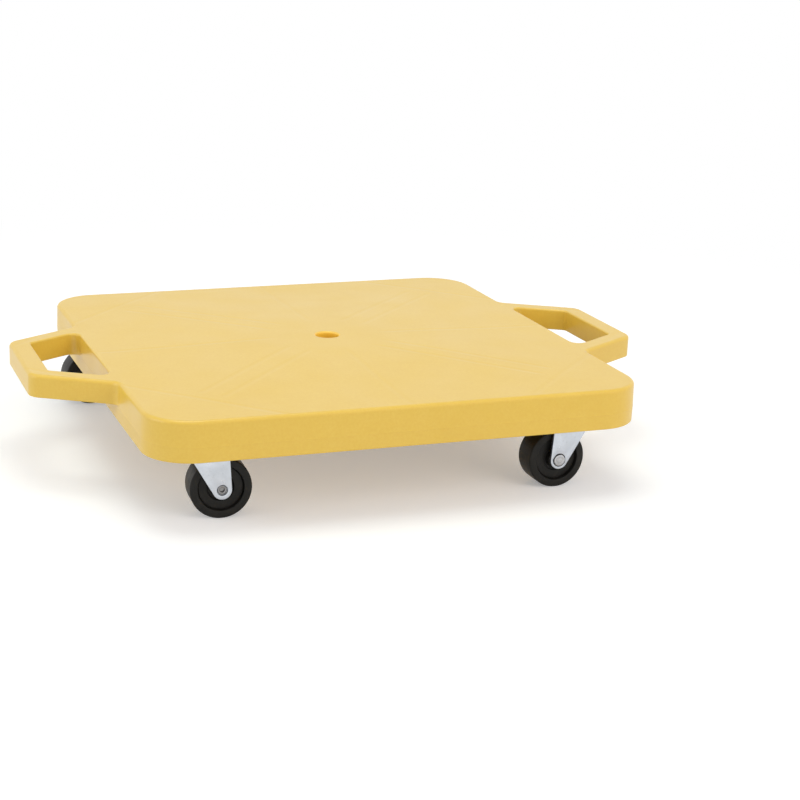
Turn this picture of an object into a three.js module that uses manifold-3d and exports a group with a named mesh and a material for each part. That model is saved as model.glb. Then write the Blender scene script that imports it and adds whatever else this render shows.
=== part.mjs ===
// Square scooter board: a moulded plastic deck with a handle ring on its left and right side,
// carried on four swivel casters with plastic wheels.
// Millimetres, +Z up. X runs through both handles and Y from the front edge to the rear edge.
// The origin lies on the floor, under the middle of the deck.

import * as THREE from "three";
import { mergeVertices } from "three/addons/utils/BufferGeometryUtils.js";
import Module from "manifold-3d";

const wasm = await Module();
wasm.setup();

// Clearances
const turningGap = 0.3;
const seatOverlap = 1;
const fullTurn = 2 * Math.PI;
const rightAngle = Math.PI / 2;
const halfRightAngle = Math.PI / 4;

// Deck: outline, crowned top and drafted skirt
const deckSide = 406.4;
const deckCornerRadius = 38;
const crownRise = 3.3;
const rimBandWidth = 12;
const topThickness = 3;
const topEdgeRadius = 3;
const skirtDepth = 32.4;
const partingLineShare = 0.62;
const upperDraft = 0.4;
const lowerDraft = 0.25;
const skirtWall = 3.2;
const lipWall = 2.6;
const lipRadius = 0.8;
const ceilingFillet = 2.4;
const deckCornerSteps = 6;
const deckSideSteps = 4;
const crownSteps = 3;

// Deck: hole through the middle, its flat land and its boss
const holeRadius = 9;
const holeEdgeRadius = 1.8;
const landRadius = 30;
const bossWall = 3.2;
const bossDraft = 0.8;

// Deck: ribs under the top
const ribRootThickness = 2.6;
const ribTipThickness = 1.9;
const ribHeight = 22;
const pairedRibSpacing = 20;
const crossRibSetback = 12;

// Handle rings
const handleReach = 63.7;
const handleDepth = 18.8;
const handleRootHalf = 88.8;
const handleOuterHalf = 51.6;
const handleCornerRadius = 12;
const handleRootInset = 3.8;
const handleBarWidth = 17;
const handleHoleRootHalf = 70.2;
const handleHoleOuterHalf = 42.6;
const handleHoleRootRadius = 8;
const handleHoleOuterRadius = 4;
const handleEdgeRadius = 3;
const handleHoleEdgeRadius = 1.4;
const handleLowerEdgeRadius = 0.8;
const handleWall = 2.8;
const handleTopThickness = 3;
const handleWebThickness = 2.2;
const handleWebShares = [-0.6, 0, 0.6];
const handleWebDepthShare = 0.7;
const cornerSteps = 4;
const edgeSteps = 2;

// Casters: places and turns
const casterInset = 44.7;
const casterTrail = 17.9;
const frontLeftTurn = THREE.MathUtils.degToRad(-3.8);
const frontRightTurn = THREE.MathUtils.degToRad(180.9);
const rearRightTurn = THREE.MathUtils.degToRad(171);
const rearLeftTurn = THREE.MathUtils.degToRad(183);

// Corner pad that the caster plate is screwed to
const padHeight = 22.5;
const padHalf = 29;
const padWall = 3;
const padBossRadius = 5.4;
const screwHalfPitch = 21.2;
const screwHoleDepth = 13;

// Caster plate and its pressed race
const plateHalf = 28;
const plateCornerRadius = 6;
const plateThickness = 2.5;
const dishDepth = 5.41;
const dishFloorRadius = 16.5;
const dishMouthRadius = 20;
const raceSides = 12;

// Ball ring
const ballRadius = 2.4;
const ballPitchRadius = 13.4;
const ballCount = 8;
const ballSides = 5;
const ballRows = 3;
const retainerWidth = 2.2;
const retainerHeight = 1.4;

// Fork
const forkSheet = 2.5;
const forkInnerHalf = 12.5;
const forkBendRadius = 4;
const wheelTopGap = 2.6;
const crownRimWall = 1.8;
const crownRimHeight = 4.4;
const legEndRadius = 7.4;
const legSlant = THREE.MathUtils.degToRad(30.5);
const legRearSlant = THREE.MathUtils.degToRad(4);
const headSeatRadius = 5.2;
const headSeatDepth = 0.5;
const rollSeatRadius = 4.4;
const rollSeatDepth = 1.3;
const legArcSteps = 7;
const bendSteps = 2;

// Kingpin
const kingpinRadius = 4;
const kingpinHeadRadius = 7;
const kingpinHeadHeight = 2.4;
const kingpinUpsetRadius = 6.4;
const kingpinUpsetHeight = 2.6;
const kingpinChamfer = 1.1;
const kingpinSides = 12;

// Wheel
const wheelRadius = 24.5;
const wheelWidth = 21.2;
const wheelSides = 24;
const wheelEdgeRadius = 1.6;
const wheelRecessRadius = 18.2;
const wheelRecessDepth = 2.4;
const wheelRecessDraft = 0.8;
const wheelMoatRadius = 10.4;
const wheelMoatDepth = 2;
const wheelBossRadius = 8;

// Sleeve, axle rivet and screws
const sleeveOuterRadius = 4.6;
const sleeveInnerRadius = 3.3;
const axleRadius = 3;
const axleHeadRadius = 4.7;
const axleHeadHeight = 1.3;
const axleHeadBevel = 0.4;
const axleRollRadius = 3.9;
const axleRollHeight = 1;
const axleHollowRadius = 2;
const axleHollowDepth = 3;
const pinSides = 12;
const screwRadius = 1.9;
const screwLength = 14.5;
const screwTipLength = 2;
const screwHeadRadius = 4.1;
const screwHeadHeight = 2.6;
const screwHeadTopRadius = 3.1;
const screwSlotWidth = 0.9;
const screwSlotLength = 4.2;
const screwSlotDepth = 1.4;
const screwSides = 8;

// Derived sizes
const wheelSideAngle = Math.PI / wheelSides;
const axleHeight = wheelRadius * Math.cos(wheelSideAngle);
const forkCeiling = axleHeight + wheelRadius + wheelTopGap;
const forkTop = forkCeiling + forkSheet;
const ballCentreHeight = forkTop + turningGap + ballRadius;
const dishBottom = ballCentreHeight + ballRadius + turningGap;
const dishTop = dishBottom + plateThickness;
const plateBottom = dishBottom + dishDepth;
const casterHeight = plateBottom + plateThickness;
const deckHalf = deckSide / 2;
const casterOffset = deckHalf - casterInset;
const deckRimHeight = casterHeight + padHeight;
const crownTop = deckRimHeight + crownRise;
const skirtBottom = deckRimHeight - skirtDepth;
const partingHeight = deckRimHeight - partingLineShare * skirtDepth;
const ceilingHeight = deckRimHeight - topThickness;
const bossRadius = holeRadius + bossWall;
const ribBottom = deckRimHeight - ribHeight;
const forkOuterHalf = forkInnerHalf + forkSheet;
const headSeat = forkOuterHalf - headSeatDepth;
const rollSeat = forkOuterHalf - rollSeatDepth;
const crownRimInner = boreRadius(ballPitchRadius + ballRadius, raceSides);
const crownRadius = crownRimInner + crownRimWall;
const kingpinHoleRadius = boreRadius(kingpinRadius, raceSides);
const wheelBoreRadius = boreRadius(sleeveOuterRadius, wheelSides);
const axleHoleRadius = boreRadius(axleRadius, pinSides);
const screwHoleRadius = boreRadius(screwRadius, screwSides);

// Corner radius of a hole whose flat sides clear a round piece inside it by the turning gap.
function boreRadius(innerPiece, sides) {
  return (innerPiece + turningGap) / Math.cos(Math.PI / sides);
}

// Materials
const deckPlastic = new THREE.MeshStandardMaterial({ color: 0xf2d27a, roughness: 0.5, metalness: 0 });
const wheelPlastic = new THREE.MeshStandardMaterial({ color: 0x242320, roughness: 0.55, metalness: 0 });
const zincSteel = new THREE.MeshStandardMaterial({ color: 0xc4c8cf, roughness: 0.32, metalness: 1 });
const rivetSteel = new THREE.MeshStandardMaterial({ color: 0xb4b7ba, roughness: 0.36, metalness: 1 });
const screwSteel = new THREE.MeshStandardMaterial({ color: 0xaeb2b6, roughness: 0.34, metalness: 1 });
const ballSteel = new THREE.MeshStandardMaterial({ color: 0xd2d4d6, roughness: 0.2, metalness: 1 });

// A closed triangle mesh with merged points, and without the slivers that a pole leaves.
function toSolid(geometry) {
  const bare = geometry.clone();
  bare.deleteAttribute("normal");
  bare.deleteAttribute("uv");
  const merged = mergeVertices(bare);
  const corners = merged.index.array;
  const triangles = [];
  for (let i = 0; i < corners.length; i += 3) {
    const [a, b, c] = [corners[i], corners[i + 1], corners[i + 2]];
    if (a !== b && b !== c && c !== a) {
      triangles.push(a, b, c);
    }
  }
  const mesh = new wasm.Mesh({
    numProp: 3,
    vertProperties: new Float32Array(merged.attributes.position.array),
    triVerts: new Uint32Array(triangles),
  });
  return new wasm.Manifold(mesh);
}

function toGeometry(solid) {
  const mesh = solid.getMesh();
  const geometry = new THREE.BufferGeometry();
  geometry.setAttribute("position", new THREE.BufferAttribute(mesh.vertProperties, 3));
  geometry.setIndex(new THREE.BufferAttribute(mesh.triVerts, 1));
  geometry.computeVertexNormals();
  return geometry;
}

function joined(pieces) {
  return pieces.reduce((whole, piece) => whole.add(piece));
}

function without(solid, cutters) {
  return cutters.reduce((left, cutter) => left.subtract(cutter), solid);
}

function placed(geometry, x, y, z) {
  geometry.translate(x, y, z);
  return toSolid(geometry);
}

// A block given by its middle in plan and by its lowest and highest level.
function block(width, depth, bottom, top, x, y) {
  const geometry = new THREE.BoxGeometry(width, depth, top - bottom);
  return placed(geometry, x, y, (top + bottom) / 2);
}

// A round solid on a vertical axis from [radius, height] pairs.
function turnedUpright(profile, sides) {
  const points = profile.map(([radius, height]) => new THREE.Vector2(radius, height));
  const geometry = new THREE.LatheGeometry(points, sides);
  geometry.rotateX(rightAngle);
  return toSolid(geometry);
}

// A round solid on an axis along Y, with a flat side of it facing down.
function turnedAcross(profile, sides) {
  const points = profile.map(([radius, along]) => new THREE.Vector2(radius, along));
  return toSolid(new THREE.LatheGeometry(points, sides, Math.PI / sides, fullTurn));
}

function upright(radius, bottom, top, sides) {
  return turnedUpright([[0, bottom], [radius, bottom], [radius, top], [0, top]], sides);
}

// Closes a skin over rings of matching points. Rings run over the top and down the outside.
// A looped skin returns to its first ring; any other skin gets a flat cap at both ends.
function lofted(rings, looped) {
  const size = rings[0].length;
  const positions = rings.flatMap((ring) => ring.flatMap((point) => [point.x, point.y, point.z]));
  const triangles = [];
  const bands = looped ? rings.length : rings.length - 1;
  for (let band = 0; band < bands; band += 1) {
    const upper = band * size;
    const lower = ((band + 1) % rings.length) * size;
    for (let j = 0; j < size; j += 1) {
      const next = (j + 1) % size;
      triangles.push(upper + j, lower + j, lower + next);
      triangles.push(upper + j, lower + next, upper + next);
    }
  }
  if (!looped) {
    const last = (rings.length - 1) * size;
    for (let j = 1; j < size - 1; j += 1) {
      triangles.push(0, j, j + 1);
      triangles.push(last, last + j + 1, last + j);
    }
  }
  const geometry = new THREE.BufferGeometry();
  geometry.setAttribute("position", new THREE.Float32BufferAttribute(positions, 3));
  geometry.setIndex(triangles);
  return toSolid(geometry);
}

// Points of a convex outline moved inwards by inset, with rounded corners.
// The corners run anticlockwise, and each side is divided into sideParts.
function roundedOutline(corners, radii, inset, arcParts, sideParts) {
  const count = corners.length;
  const arcs = corners.map((corner, k) => {
    const before = corner.clone().sub(corners[(k + count - 1) % count]).normalize();
    const after = corners[(k + 1) % count].clone().sub(corner).normalize();
    const inBefore = new THREE.Vector2(-before.y, before.x);
    const inAfter = new THREE.Vector2(-after.y, after.x);
    const reach = inset / (1 + inBefore.dot(inAfter));
    const moved = corner.clone().addScaledVector(inBefore, reach).addScaledVector(inAfter, reach);
    const radius = Math.max(radii[k] - inset, turningGap);
    const turn = Math.acos(before.dot(after));
    const centre = moved.addScaledVector(before, -radius * Math.tan(turn / 2));
    centre.addScaledVector(inBefore, radius);
    const first = Math.atan2(-inBefore.y, -inBefore.x);
    const arc = [];
    for (let i = 0; i <= arcParts; i += 1) {
      const angle = first + (turn * i) / arcParts;
      arc.push(new THREE.Vector2(Math.cos(angle), Math.sin(angle)).multiplyScalar(radius).add(centre));
    }
    return arc;
  });
  return arcs.flatMap((arc, k) => {
    const end = arc[arc.length - 1];
    const start = arcs[(k + 1) % count][0];
    const side = [];
    for (let i = 1; i < sideParts; i += 1) {
      side.push(end.clone().lerp(start, i / sideParts));
    }
    return [...arc, ...side];
  });
}

function atHeight(outline, height) {
  return outline.map((point) => new THREE.Vector3(point.x, point.y, height));
}

// Insets and drops of a quarter round between a flat face and the side below it.
function quarterRound(radius, steps) {
  const places = [];
  for (let i = 0; i <= steps; i += 1) {
    const angle = (rightAngle * i) / steps;
    places.push({ inset: radius * (1 - Math.sin(angle)), drop: radius * (1 - Math.cos(angle)) });
  }
  return places;
}

function deckOutline(inset) {
  const corners = [[1, 1], [-1, 1], [-1, -1], [1, -1]];
  return roundedOutline(
    corners.map(([x, y]) => new THREE.Vector2(x * deckHalf, y * deckHalf)),
    corners.map(() => deckCornerRadius),
    inset,
    deckCornerSteps,
    deckSideSteps,
  );
}

function deckRing(inset, height) {
  return atHeight(deckOutline(inset), height);
}

// A circle with as many points as the deck outline, evenly spread and lined up with it.
function roundRing(radius, height) {
  const count = 4 * (deckCornerSteps + deckSideSteps);
  const ring = [];
  for (let i = 0; i < count; i += 1) {
    const angle = (fullTurn * (i + deckSideSteps / 2)) / count;
    ring.push(new THREE.Vector3(Math.cos(angle) * radius, Math.sin(angle) * radius, height));
  }
  return ring;
}

// Rings from the flat land in the middle to the flat band at the rim, along the shallow crown.
function crownRings(landInset, rimInset, drop) {
  const inner = roundRing(landRadius - landInset, deckRimHeight);
  const outer = deckRing(rimInset, deckRimHeight);
  const rings = [];
  for (let i = 0; i <= crownSteps; i += 1) {
    const share = i / crownSteps;
    const rise = crownRise * Math.cos(share * rightAngle) ** 2;
    rings.push(inner.map((point, k) => {
      const place = point.clone().lerp(outer[k], share);
      place.z = deckRimHeight + rise - drop;
      return place;
    }));
  }
  return rings;
}

// The moulded shell: hole, crowned top, rounded edge, drafted skirt, then the underside.
function deckShell() {
  const holeEdge = quarterRound(holeEdgeRadius, edgeSteps).reverse();
  const topEdge = quarterRound(topEdgeRadius, edgeSteps);
  const rings = [
    roundRing(holeRadius, ribBottom),
    ...holeEdge.map(({ inset, drop }) => roundRing(holeRadius + holeEdgeRadius - inset, crownTop - drop)),
    ...crownRings(0, rimBandWidth, 0),
    ...topEdge.map(({ inset, drop }) => deckRing(inset + upperDraft, deckRimHeight - drop)),
    deckRing(0, partingHeight),
    deckRing(lowerDraft, skirtBottom + lipRadius),
    deckRing(lowerDraft + lipRadius, skirtBottom),
    deckRing(lowerDraft + lipWall, skirtBottom),
    deckRing(upperDraft + skirtWall, ceilingHeight - ceilingFillet),
    deckRing(upperDraft + skirtWall + ceilingFillet, ceilingHeight),
    ...crownRings(0, rimBandWidth, topThickness).reverse(),
    roundRing(bossRadius, crownTop - topThickness),
    roundRing(bossRadius - bossDraft, ribBottom),
  ];
  return lofted(rings, true);
}

// The space that ribs may fill: it ends inside the thickness of the top and of the skirt.
function ribRoom() {
  const halfTop = topThickness / 2;
  const halfWall = skirtWall / 2;
  const rings = [
    roundRing(holeRadius + bossWall / 2, skirtBottom),
    roundRing(holeRadius + bossWall / 2, crownTop - halfTop),
    ...crownRings(0, rimBandWidth, halfTop),
    deckRing(halfWall + ceilingFillet, deckRimHeight - halfTop),
    deckRing(halfWall + upperDraft, deckRimHeight - topEdgeRadius),
    deckRing(halfWall + lowerDraft, skirtBottom),
  ];
  return lofted(rings, true);
}

// A tapered rib between two points in plan, from its tip at bottom up past the top skin.
function rib(fromX, fromY, toX, toY, bottom) {
  const run = Math.hypot(toX - fromX, toY - fromY);
  const rootHalf = ribRootThickness / 2;
  const tipHalf = ribTipThickness / 2;
  const section = new THREE.Shape([
    new THREE.Vector2(-tipHalf, bottom),
    new THREE.Vector2(tipHalf, bottom),
    new THREE.Vector2(rootHalf, crownTop),
    new THREE.Vector2(-rootHalf, crownTop),
  ]);
  const geometry = new THREE.ExtrudeGeometry(section, { depth: run, bevelEnabled: false, steps: 1 });
  const along = new THREE.Vector3((toX - fromX) / run, (toY - fromY) / run, 0);
  const up = new THREE.Vector3(0, 0, 1);
  const across = up.clone().cross(along);
  geometry.applyMatrix4(new THREE.Matrix4().makeBasis(across, up, along));
  return placed(geometry, fromX, fromY, 0);
}

// Ribs of one quarter: one to the side middle, a pair to the corner pad and the cross ribs there.
function quarterRibs() {
  const start = holeRadius + bossWall / 2;
  const sideRib = rib(start, 0, deckHalf, 0, ribBottom);
  const half = pairedRibSpacing / 2;
  const padDistance = casterOffset * Math.SQRT2;
  const padFace = padDistance - padHalf + padWall / 2;
  const pairStart = Math.sqrt(Math.max(start ** 2 - half ** 2, 0));
  const pair = [-half, half].map((offset) => rib(pairStart, offset, padFace, offset, ribBottom));
  const crossPlace = padDistance - crossRibSetback;
  const padSide = padHalf - padWall / 2;
  const cross = [-1, 1].map((side) => (
    rib(crossPlace, side * padSide, crossPlace, side * deckHalf, ribBottom)
  ));
  const turned = [...pair, ...cross].map((piece) => piece.rotate([0, 0, 45]));
  return [sideRib, ...turned];
}

// Pad of one corner, set square to the diagonal: a walled box with four screw bosses.
function cornerPad() {
  const bottom = casterHeight;
  const innerHalf = padHalf - padWall;
  const outer = block(2 * padHalf, 2 * padHalf, bottom, crownTop, 0, 0);
  const inner = block(2 * innerHalf, 2 * innerHalf, bottom - seatOverlap, crownTop + seatOverlap, 0, 0);
  const bosses = screwPlaces().map(([x, y]) => {
    const boss = upright(padBossRadius, bottom, crownTop, screwSides);
    return boss.translate([x, y, 0]);
  });
  return joined([outer.subtract(inner), ...bosses]);
}

function screwPlaces() {
  return [[1, 1], [-1, 1], [-1, -1], [1, -1]].map(([x, y]) => [x * screwHalfPitch, y * screwHalfPitch]);
}

function padScrewHoles() {
  return screwPlaces().map(([x, y]) => {
    const hole = upright(screwHoleRadius, skirtBottom, casterHeight + screwHoleDepth, screwSides);
    return hole.translate([x, y, 0]);
  });
}

function atCaster(solid, { x, y }) {
  return solid.rotate([0, 0, 45]).translate([x, y, 0]);
}

// A four-sided outline that narrows from the deck's face outwards. Its sides keep their slant
// where its root line lies inside the deck's face by inwards.
function taperedOutline({ reach, rootHalf, outerHalf, rootRadius, outerRadius }, inwards, inset) {
  const carriedHalf = rootHalf + ((rootHalf - outerHalf) / reach) * inwards;
  const corners = [
    new THREE.Vector2(deckHalf - inwards, -carriedHalf),
    new THREE.Vector2(deckHalf + reach, -outerHalf),
    new THREE.Vector2(deckHalf + reach, outerHalf),
    new THREE.Vector2(deckHalf - inwards, carriedHalf),
  ];
  return roundedOutline(corners, [rootRadius, outerRadius, outerRadius, rootRadius], inset, cornerSteps, 1);
}

// Outside of a handle ring moved in by inset, with its root line kept inside the deck's wall.
function handleOutline(inset, rootInset) {
  const sizes = {
    reach: handleReach,
    rootHalf: handleRootHalf,
    outerHalf: handleOuterHalf,
    rootRadius: topEdgeRadius,
    outerRadius: handleCornerRadius,
  };
  return taperedOutline(sizes, rootInset + inset, inset);
}

// Edge of a hand hole moved out by outset. It stands just clear of the deck's own side.
function handHoleOutline(outset) {
  const sizes = {
    reach: handleReach - handleBarWidth,
    rootHalf: handleHoleRootHalf,
    outerHalf: handleHoleOuterHalf,
    rootRadius: handleHoleRootRadius,
    outerRadius: handleHoleOuterRadius,
  };
  return taperedOutline(sizes, -lowerDraft, -outset);
}

// The ring round one hand hole, as a channel that is open underneath, on the +X side.
function handleRing() {
  const bottom = deckRimHeight - handleDepth;
  const outerEdge = quarterRound(handleEdgeRadius, edgeSteps);
  const holeEdge = quarterRound(handleHoleEdgeRadius, edgeSteps);
  const outer = lofted([
    ...outerEdge.map(({ inset, drop }) => (
      atHeight(handleOutline(inset + upperDraft, handleRootInset), deckRimHeight - drop)
    )),
    atHeight(handleOutline(0, handleRootInset), bottom + handleLowerEdgeRadius),
    atHeight(handleOutline(handleLowerEdgeRadius, handleRootInset), bottom),
  ], false);
  const hole = lofted([
    atHeight(handHoleOutline(handleHoleEdgeRadius), deckRimHeight + seatOverlap),
    ...holeEdge.map(({ inset, drop }) => atHeight(handHoleOutline(inset), deckRimHeight - drop)),
    atHeight(handHoleOutline(0), bottom + handleLowerEdgeRadius),
    atHeight(handHoleOutline(handleLowerEdgeRadius), bottom),
    atHeight(handHoleOutline(handleLowerEdgeRadius), bottom - seatOverlap),
  ], false);
  return outer.subtract(hole).subtract(handleChannel(bottom));
}

// The hollow under the ring, crossed by thin webs below its floor.
function handleChannel(bottom) {
  const floor = deckRimHeight - handleTopThickness;
  const outer = lofted([
    atHeight(handleOutline(handleWall + upperDraft, 0), floor),
    atHeight(handleOutline(handleWall, 0), bottom - seatOverlap),
  ], false);
  const inner = lofted([
    atHeight(handHoleOutline(handleWall + upperDraft), floor + seatOverlap),
    atHeight(handHoleOutline(handleWall), bottom - 2 * seatOverlap),
  ], false);
  const webBottom = floor - (floor - bottom) * handleWebDepthShare;
  const gripMiddle = deckHalf + handleReach - handleBarWidth / 2;
  const webTop = floor + seatOverlap;
  const webs = handleWebShares.map((share) => {
    const along = share * handleHoleOuterHalf;
    return block(handleBarWidth, handleWebThickness, webBottom, webTop, gripMiddle, along);
  });
  return without(outer, [inner, ...webs]);
}

function makeDeck() {
  const quarters = [0, 90, 180, 270];
  const room = ribRoom();
  const ribs = quarters.flatMap((angle) => quarterRibs().map((piece) => piece.rotate([0, 0, angle])));
  const pads = casters.map((caster) => atCaster(cornerPad(), caster));
  const padInsides = casters.map((caster) => atCaster(padClearing(), caster));
  const framework = joined([without(joined(ribs), padInsides), ...pads]).intersect(room);
  const handles = [0, 180].map((angle) => handleRing().rotate([0, 0, angle]));
  const screwHoles = casters.flatMap((caster) => padScrewHoles().map((hole) => atCaster(hole, caster)));
  return without(joined([deckShell(), framework, ...handles]), screwHoles);
}

// Ribs stop at the walls of a corner pad.
function padClearing() {
  const half = padHalf - padWall;
  return block(2 * half, 2 * half, skirtBottom - seatOverlap, crownTop + seatOverlap, 0, 0);
}

// Every caster piece is made round its own kingpin axis, with the wheel trailing towards +X.
function makePlate() {
  const shape = new THREE.Shape(roundedOutline(
    [[1, 1], [-1, 1], [-1, -1], [1, -1]].map(([x, y]) => new THREE.Vector2(x * plateHalf, y * plateHalf)),
    [plateCornerRadius, plateCornerRadius, plateCornerRadius, plateCornerRadius],
    0,
    edgeSteps,
    1,
  ));
  const sheet = new THREE.ExtrudeGeometry(shape, { depth: plateThickness, bevelEnabled: false });
  const flat = placed(sheet, 0, 0, plateBottom);
  const below = plateBottom - seatOverlap;
  const above = casterHeight + seatOverlap;
  const mouth = upright(dishMouthRadius - plateThickness / 2, below, above, raceSides);
  const holes = screwPlaces().map(([x, y]) => (
    upright(screwHoleRadius, below, above, screwSides).translate([x, y, 0])
  ));
  const dish = turnedUpright([
    [kingpinHoleRadius, dishBottom],
    [dishFloorRadius, dishBottom],
    [dishMouthRadius, plateBottom],
    [dishMouthRadius + seatOverlap, plateBottom],
    [dishMouthRadius + seatOverlap, casterHeight],
    [dishMouthRadius - plateThickness / 2, casterHeight],
    [dishFloorRadius - plateThickness / 2, dishTop],
    [kingpinHoleRadius, dishTop],
    [kingpinHoleRadius, dishBottom],
  ], raceSides);
  return without(flat, [mouth, ...holes]).add(dish);
}

// The balls of the swivel race, held in one ring by their retainer.
function makeBallRing() {
  const inner = ballPitchRadius - retainerWidth / 2;
  const outer = ballPitchRadius + retainerWidth / 2;
  const bottom = ballCentreHeight - retainerHeight / 2;
  const top = ballCentreHeight + retainerHeight / 2;
  const retainer = turnedUpright(
    [[inner, bottom], [outer, bottom], [outer, top], [inner, top], [inner, bottom]],
    ballCount,
  );
  const balls = [];
  for (let i = 0; i < ballCount; i += 1) {
    const angle = (fullTurn * i) / ballCount;
    const ball = new THREE.SphereGeometry(ballRadius, ballSides, ballRows);
    balls.push(placed(
      ball,
      Math.cos(angle) * ballPitchRadius,
      Math.sin(angle) * ballPitchRadius,
      ballCentreHeight,
    ));
  }
  return joined([retainer, ...balls]);
}

// Side view of the fork: a round end at the axle, a nearly upright rear edge and a slanted front edge.
function forkSideOutline() {
  const shape = new THREE.Shape();
  const upperLegHeight = forkCeiling - forkBendRadius / 2;
  const slantRun = (upperLegHeight - axleHeight) * Math.tan(legSlant) + legEndRadius / Math.cos(legSlant);
  const rearRun = legEndRadius / Math.cos(legRearSlant) - (forkTop - axleHeight) * Math.tan(legRearSlant);
  const endTurn = Math.PI - legSlant + legRearSlant;
  shape.moveTo(casterTrail + rearRun, forkTop);
  shape.lineTo(-crownRadius, forkTop);
  shape.lineTo(-crownRadius, upperLegHeight);
  shape.lineTo(casterTrail - slantRun, upperLegHeight);
  for (let i = 0; i <= legArcSteps; i += 1) {
    const angle = legSlant - Math.PI + (endTurn * i) / legArcSteps;
    shape.lineTo(casterTrail + Math.cos(angle) * legEndRadius, axleHeight + Math.sin(angle) * legEndRadius);
  }
  shape.closePath();
  return shape;
}

// Front view of the folded sheet: two legs and the crown, with rounded bends.
function forkFrontOutline() {
  const bendY = forkOuterHalf - forkBendRadius;
  const bendZ = forkTop - forkBendRadius;
  const bendAt = (radius) => {
    const bend = [];
    for (let i = 0; i <= bendSteps; i += 1) {
      const angle = (rightAngle * i) / bendSteps;
      bend.push([bendY + Math.cos(angle) * radius, bendZ + Math.sin(angle) * radius]);
    }
    return bend;
  };
  const mirrored = (line) => line.map(([y, z]) => [-y, z]).reverse();
  const outside = [[forkOuterHalf, 0], ...bendAt(forkBendRadius)];
  const inside = [[forkInnerHalf, 0], ...bendAt(forkBendRadius - forkSheet)];
  const insideDown = [...inside].reverse();
  const points = [...outside, ...mirrored(outside), ...mirrored(insideDown), ...insideDown];
  return new THREE.Shape(points.map(([y, z]) => new THREE.Vector2(y, z)));
}

// Plan of the fork: the round crown and the straight run back to the legs.
function forkPlanOutline() {
  const shape = new THREE.Shape();
  shape.moveTo(casterTrail + legEndRadius + seatOverlap, -forkOuterHalf - seatOverlap);
  shape.lineTo(casterTrail + legEndRadius + seatOverlap, forkOuterHalf + seatOverlap);
  shape.lineTo(0, crownRadius);
  for (let i = 1; i <= legArcSteps; i += 1) {
    const angle = rightAngle + (Math.PI * i) / legArcSteps;
    shape.lineTo(Math.cos(angle) * crownRadius, Math.sin(angle) * crownRadius);
  }
  shape.closePath();
  return shape;
}

function makeFork() {
  const xAxis = new THREE.Vector3(1, 0, 0);
  const yAxis = new THREE.Vector3(0, 1, 0);
  const zAxis = new THREE.Vector3(0, 0, 1);
  const sideDepth = 2 * (forkOuterHalf + seatOverlap);
  const side = new THREE.ExtrudeGeometry(forkSideOutline(), { depth: sideDepth, bevelEnabled: false });
  side.applyMatrix4(new THREE.Matrix4().makeBasis(xAxis, zAxis, yAxis.clone().negate()));
  const sideSolid = placed(side, 0, sideDepth / 2, 0);
  const frontDepth = 2 * (crownRadius + casterTrail);
  const front = new THREE.ExtrudeGeometry(forkFrontOutline(), { depth: frontDepth, bevelEnabled: false });
  front.applyMatrix4(new THREE.Matrix4().makeBasis(yAxis, zAxis, xAxis));
  const frontSolid = placed(front, -frontDepth / 2, 0, 0);
  const planDepth = forkTop + seatOverlap;
  const plan = new THREE.ExtrudeGeometry(forkPlanOutline(), { depth: planDepth, bevelEnabled: false });
  const folded = frontSolid.intersect(sideSolid).intersect(toSolid(plan));
  const race = turnedUpright([
    [kingpinHoleRadius, forkCeiling],
    [crownRadius, forkCeiling],
    [crownRadius, forkTop + crownRimHeight],
    [crownRimInner, forkTop + crownRimHeight],
    [crownRimInner, forkTop],
    [kingpinHoleRadius, forkTop],
    [kingpinHoleRadius, forkCeiling],
  ], raceSides);
  const holeBottom = forkCeiling - seatOverlap;
  const kingpinHole = upright(kingpinHoleRadius, holeBottom, planDepth, raceSides);
  return without(folded, [kingpinHole]).add(race).subtract(axleCut());
}

// The axle holes of both legs and the round coined seats on their outer faces.
function axleCut() {
  const end = forkOuterHalf + seatOverlap;
  const cut = turnedAcross([
    [0, -end],
    [rollSeatRadius, -end],
    [rollSeatRadius, -rollSeat],
    [axleHoleRadius, -rollSeat],
    [axleHoleRadius, headSeat],
    [headSeatRadius, headSeat],
    [headSeatRadius, end],
    [0, end],
  ], pinSides);
  return cut.translate([casterTrail, 0, axleHeight]);
}

function makeKingpin() {
  const headTop = dishTop + kingpinHeadHeight;
  const upsetTop = forkCeiling - turningGap;
  const upsetBottom = upsetTop - kingpinUpsetHeight;
  return turnedUpright([
    [0, upsetBottom],
    [kingpinUpsetRadius - kingpinChamfer, upsetBottom],
    [kingpinUpsetRadius, upsetTop],
    [kingpinRadius, upsetTop],
    [kingpinRadius, dishTop],
    [kingpinHeadRadius, dishTop],
    [kingpinHeadRadius, headTop - kingpinChamfer],
    [kingpinHeadRadius - kingpinChamfer, headTop],
    [0, headTop],
  ], kingpinSides);
}

// Wheel with a smooth tread, a stepped dish in each face, and a hub in a groove that stands proud.
function makeWheel() {
  const half = wheelWidth / 2;
  const bossHalf = forkInnerHalf - turningGap;
  const moatFloor = half - wheelRecessDepth - wheelMoatDepth;
  const face = [
    [wheelBossRadius, bossHalf],
    [wheelBossRadius, moatFloor],
    [wheelMoatRadius, moatFloor],
    [wheelMoatRadius, half - wheelRecessDepth],
    [wheelRecessRadius - wheelRecessDraft, half - wheelRecessDepth],
    [wheelRecessRadius, half],
    [wheelRadius - wheelEdgeRadius, half],
    [wheelRadius, half - wheelEdgeRadius],
  ];
  const near = face.map(([radius, along]) => [radius, -along]);
  const profile = [
    [wheelBoreRadius, -bossHalf],
    ...near,
    ...[...face].reverse(),
    [wheelBoreRadius, bossHalf],
    [wheelBoreRadius, -bossHalf],
  ];
  return turnedAcross(profile, wheelSides);
}

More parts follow.
